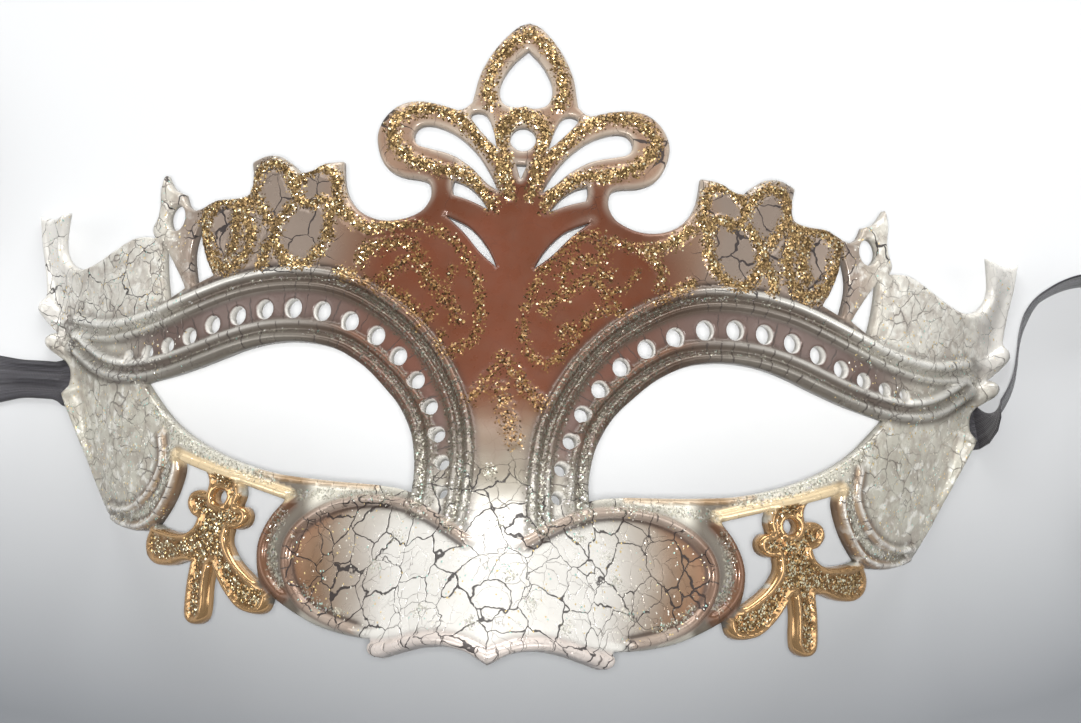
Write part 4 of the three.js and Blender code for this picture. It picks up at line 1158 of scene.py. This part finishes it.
def shell_material():
    m = Material("painted_moulding")
    place = m.place()
    faint, mottled, worn_metal = m.value("faint"), m.value("mottled"), m.value("metal")
    crack, craze, tick, hair = crackle(m, place)
    flakes, (chance, other_chance, third_chance), gold, silver = glitter(m, place)

    # the paint with its patches and lines, and painted shade in the grooves
    mottle = m.noise(place, 320, 4)
    paint = m.mix(m.ramp(mottle, 0.3, 0.7, 0.0, 0.16), m.colour("paint"), MOTTLE)
    rosy = m.times(m.ramp(m.noise(place, 75, 3), 0.42, 0.66, 0.0, 0.26), faint)
    blotch = m.times(m.ramp(m.noise(place, 430, 5), 0.42, 0.62), mottled)
    elsewhere = m.vector("ADD", place, (0.2, 0.4, 0.1))
    bright = m.times(m.ramp(m.noise(elsewhere, 520, 4), 0.54, 0.66), mottled)
    for mask, share, colour in (
        (rosy, 1.0, ROSY), (blotch, 0.46, BLOTCH), (bright, 0.7, CHALK), (craze, 0.62, CRAZE_LINE),
        (hair, 0.3, HAIR_LINE), (tick, 0.8, TICK_LINE), (crack, 0.92, CRACK_LINE),
        # the grooves darkened as painted shade
        (m.value("groove"), 0.8, GROOVE_SHADE),
    ):
        paint = m.mix(m.times(mask, share), paint, colour)

    # flakes over it, duller in the forehead's thin glue
    gold_flakes = m.steps(m.plus(chance, m.times(worn_metal, 0.16)), GOLD_FLAKES)
    gold_flakes = m.mix(m.times(faint, 0.9), gold_flakes, m.steps(chance, DULL_FLAKES))
    silver_share = m.ramp(m.value("pearly"), 0.2, 0.6, 0.66, 0.45)
    silver_flakes = m.mix(silver_share, m.steps(other_chance, SILVER_FLAKES), paint)
    silver_flakes = m.mix(m.times(faint, 0.72), silver_flakes, GREY_SILVER)
    paint = m.mix(gold, paint, gold_flakes)
    paint = m.mix(m.times(silver, m.minus(1.0, gold)), paint, silver_flakes)
    fleck_level = m.times(m.value("fleck"), m.ramp(m.noise(place, 240, 1), 0.42, 0.66, 0.0, 0.08))
    fleck = m.math("LESS_THAN", third_chance, fleck_level)
    paint = m.mix(fleck, paint, m.steps(chance, FLECKS))

    # bare plastic inside, with a ragged border
    ragged = m.ramp(m.noise(place, 500, 2), 0, 1, -0.15, 0.15)
    bare = m.math("GREATER_THAN", m.plus(m.value("inside"), ragged), 0.8)
    plastic = m.mix(m.ramp(m.noise(place, 90, 4), 0.35, 0.65), *PLASTIC)
    painted = m.minus(1.0, bare)

    metal = m.most(m.times(worn_metal, 0.75), m.times(silver, 0.35),
                   m.times(gold, m.ramp(faint, 0, 1, 0.6, 0.3)), m.ramp(m.value("pearly"), 0, 1, 0.0, 0.34),
                   m.times(fleck, 0.6))
    rough = m.plus(m.ramp(mottle, 0.3, 0.7, 0.24, 0.36), m.times(crack, 0.3))
    rough = m.minus(rough, m.times(m.most(gold, silver, worn_metal), 0.12))
    dents = m.plus(m.times(mottle, 0.12), m.times(blotch, -0.5))
    dents = m.minus(dents, m.most(crack, tick, craze))
    bumped = m.bump(m.times(dents, painted), 0.0002, 0.7)
    swing = m.most(m.times(gold, m.ramp(faint, 0, 1, 0.75, 0.6)), m.times(silver, 0.55))
    tilt = m.scaled(m.vector("SUBTRACT", flakes, (0.5, 0.5, 0.5)), swing)
    m.set(Base_Color=m.mix(bare, paint, plastic), Metallic=m.times(metal, painted), Roughness=rough,
          Normal=m.vector("NORMALIZE", m.vector("ADD", bumped, tilt)),
          Coat_Weight=0.12, Coat_Roughness=0.12, Specular_IOR_Level=0.22)
    return m.material


def satin_material():
    m = Material("black_satin")
    along, across = m.value("along"), m.value("across")
    lay = m.add("ShaderNodeCombineXYZ", {"X": m.times(along, 0.06), "Y": m.times(across, 7.0)})
    streaks = m.noise(lay, 1.0, 3)
    threads = m.math("SINE", m.times(across, 95.0))
    picks = m.math("SINE", m.times(along, 24.0))
    weave = m.plus(m.times(threads, 0.5), m.times(m.times(picks, threads), 0.35))
    edge = m.ramp(m.math("ABSOLUTE", across), 0.9, 0.96)
    colour = m.mix(m.ramp(streaks, 0.3, 0.7), *SATIN)
    height = m.plus(weave, m.times(edge, 1.5))
    m.set(Base_Color=m.mix(m.times(edge, 0.5), colour, SELVEDGE),
          Roughness=m.ramp(streaks, 0.3, 0.7, 0.5, 0.3), Normal=m.bump(height, 0.00012, 0.6),
          Sheen_Weight=0.25, Sheen_Roughness=0.35, Specular_IOR_Level=0.55, Anisotropic=0.5)
    return m.material


def floor_material():
    """A pale floor with painted shade: it turns softly grey in a patch in front of the mask."""
    m = Material("pale_floor")
    place = m.place()
    across, towards, _ = m.split("ShaderNodeSeparateXYZ", place)
    aside = m.times(across, across)
    towards = m.plus(towards, m.times(m.noise(place, 60, 3), 0.002))
    towards = m.minus(towards, m.ramp(aside, 0, 0.0104, 0.0, 0.0154))
    towards = m.minus(towards, m.ramp(across, -0.1, 0.1, -0.005, 0.005))
    begins = m.ramp(towards, -0.064, -0.002, 1.0, 0.0)
    ends = m.ramp(towards, -0.2, -0.075, kind="SMOOTHSTEP")
    sides = m.ramp(aside, 0.0135, 0.07, 1.0, 0.0, "SMOOTHSTEP")
    shade = m.times(m.times(begins, ends), sides)
    m.set(Base_Color=m.mix(shade, FLOOR_PALE, FLOOR_SHADE), Metallic=0.0, Roughness=0.5)
    return m.material


def build_camera():
    data = bpy.data.cameras.new("camera")
    data.sensor_fit = "HORIZONTAL"
    data.sensor_width = SENSOR_WIDTH
    data.lens = SENSOR_WIDTH * FOCAL_PIXELS / PHOTO_WIDTH
    data.clip_start = 0.01
    camera = bpy.data.objects.new("camera", data)
    bpy.context.scene.collection.objects.link(camera)
    camera.location = [value * MM for value in CAMERA_PLACE]
    camera.rotation_euler = Euler([math.radians(angle) for angle in CAMERA_TURN], "XYZ")
    bpy.context.scene.camera = camera
    bpy.context.scene.view_settings.view_transform = "Standard"


def area_light(name, place, target, size, power):
    data = bpy.data.lights.new(name, "AREA")
    data.shape = "RECTANGLE"
    data.size, data.size_y = size
    data.energy = power
    light = bpy.data.objects.new(name, data)
    bpy.context.scene.collection.objects.link(light)
    light.location = place
    light.rotation_euler = (Vector(target) - Vector(place)).to_track_quat("-Z", "Y").to_euler()


def build_stage():
    corners = [(x * FLOOR_REACH, y * FLOOR_REACH, 0) for x, y in ((-1, -1), (1, -1), (1, 1), (-1, 1))]
    floor = make_mesh("floor", corners, [(0, 1, 2, 3)], floor_material())
    world = bpy.data.worlds.new("world")
    world.use_nodes = True
    background = world.node_tree.nodes["Background"]
    background.inputs["Color"].default_value = WORLD_COLOUR
    background.inputs["Strength"].default_value = WORLD_STRENGTH
    bpy.context.scene.world = world
    for light in LIGHTS:
        area_light(*light)


build_camera()
satin = satin_material()
for side_name, ribbon in (("left", RIBBON_LEFT), ("right", RIBBON_RIGHT)):
    strip, centreline, ribbon_length = build_ribbon(f"satin_ribbon_{side_name}", ribbon, satin)
    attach(strip, "root")
    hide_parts(f"ribbon_{side_name}", f"ribbon_{side_name}_roll")

moulding = build_shell(shell_material())
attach(moulding, "root")
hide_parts("mask_shell")
build_stage()
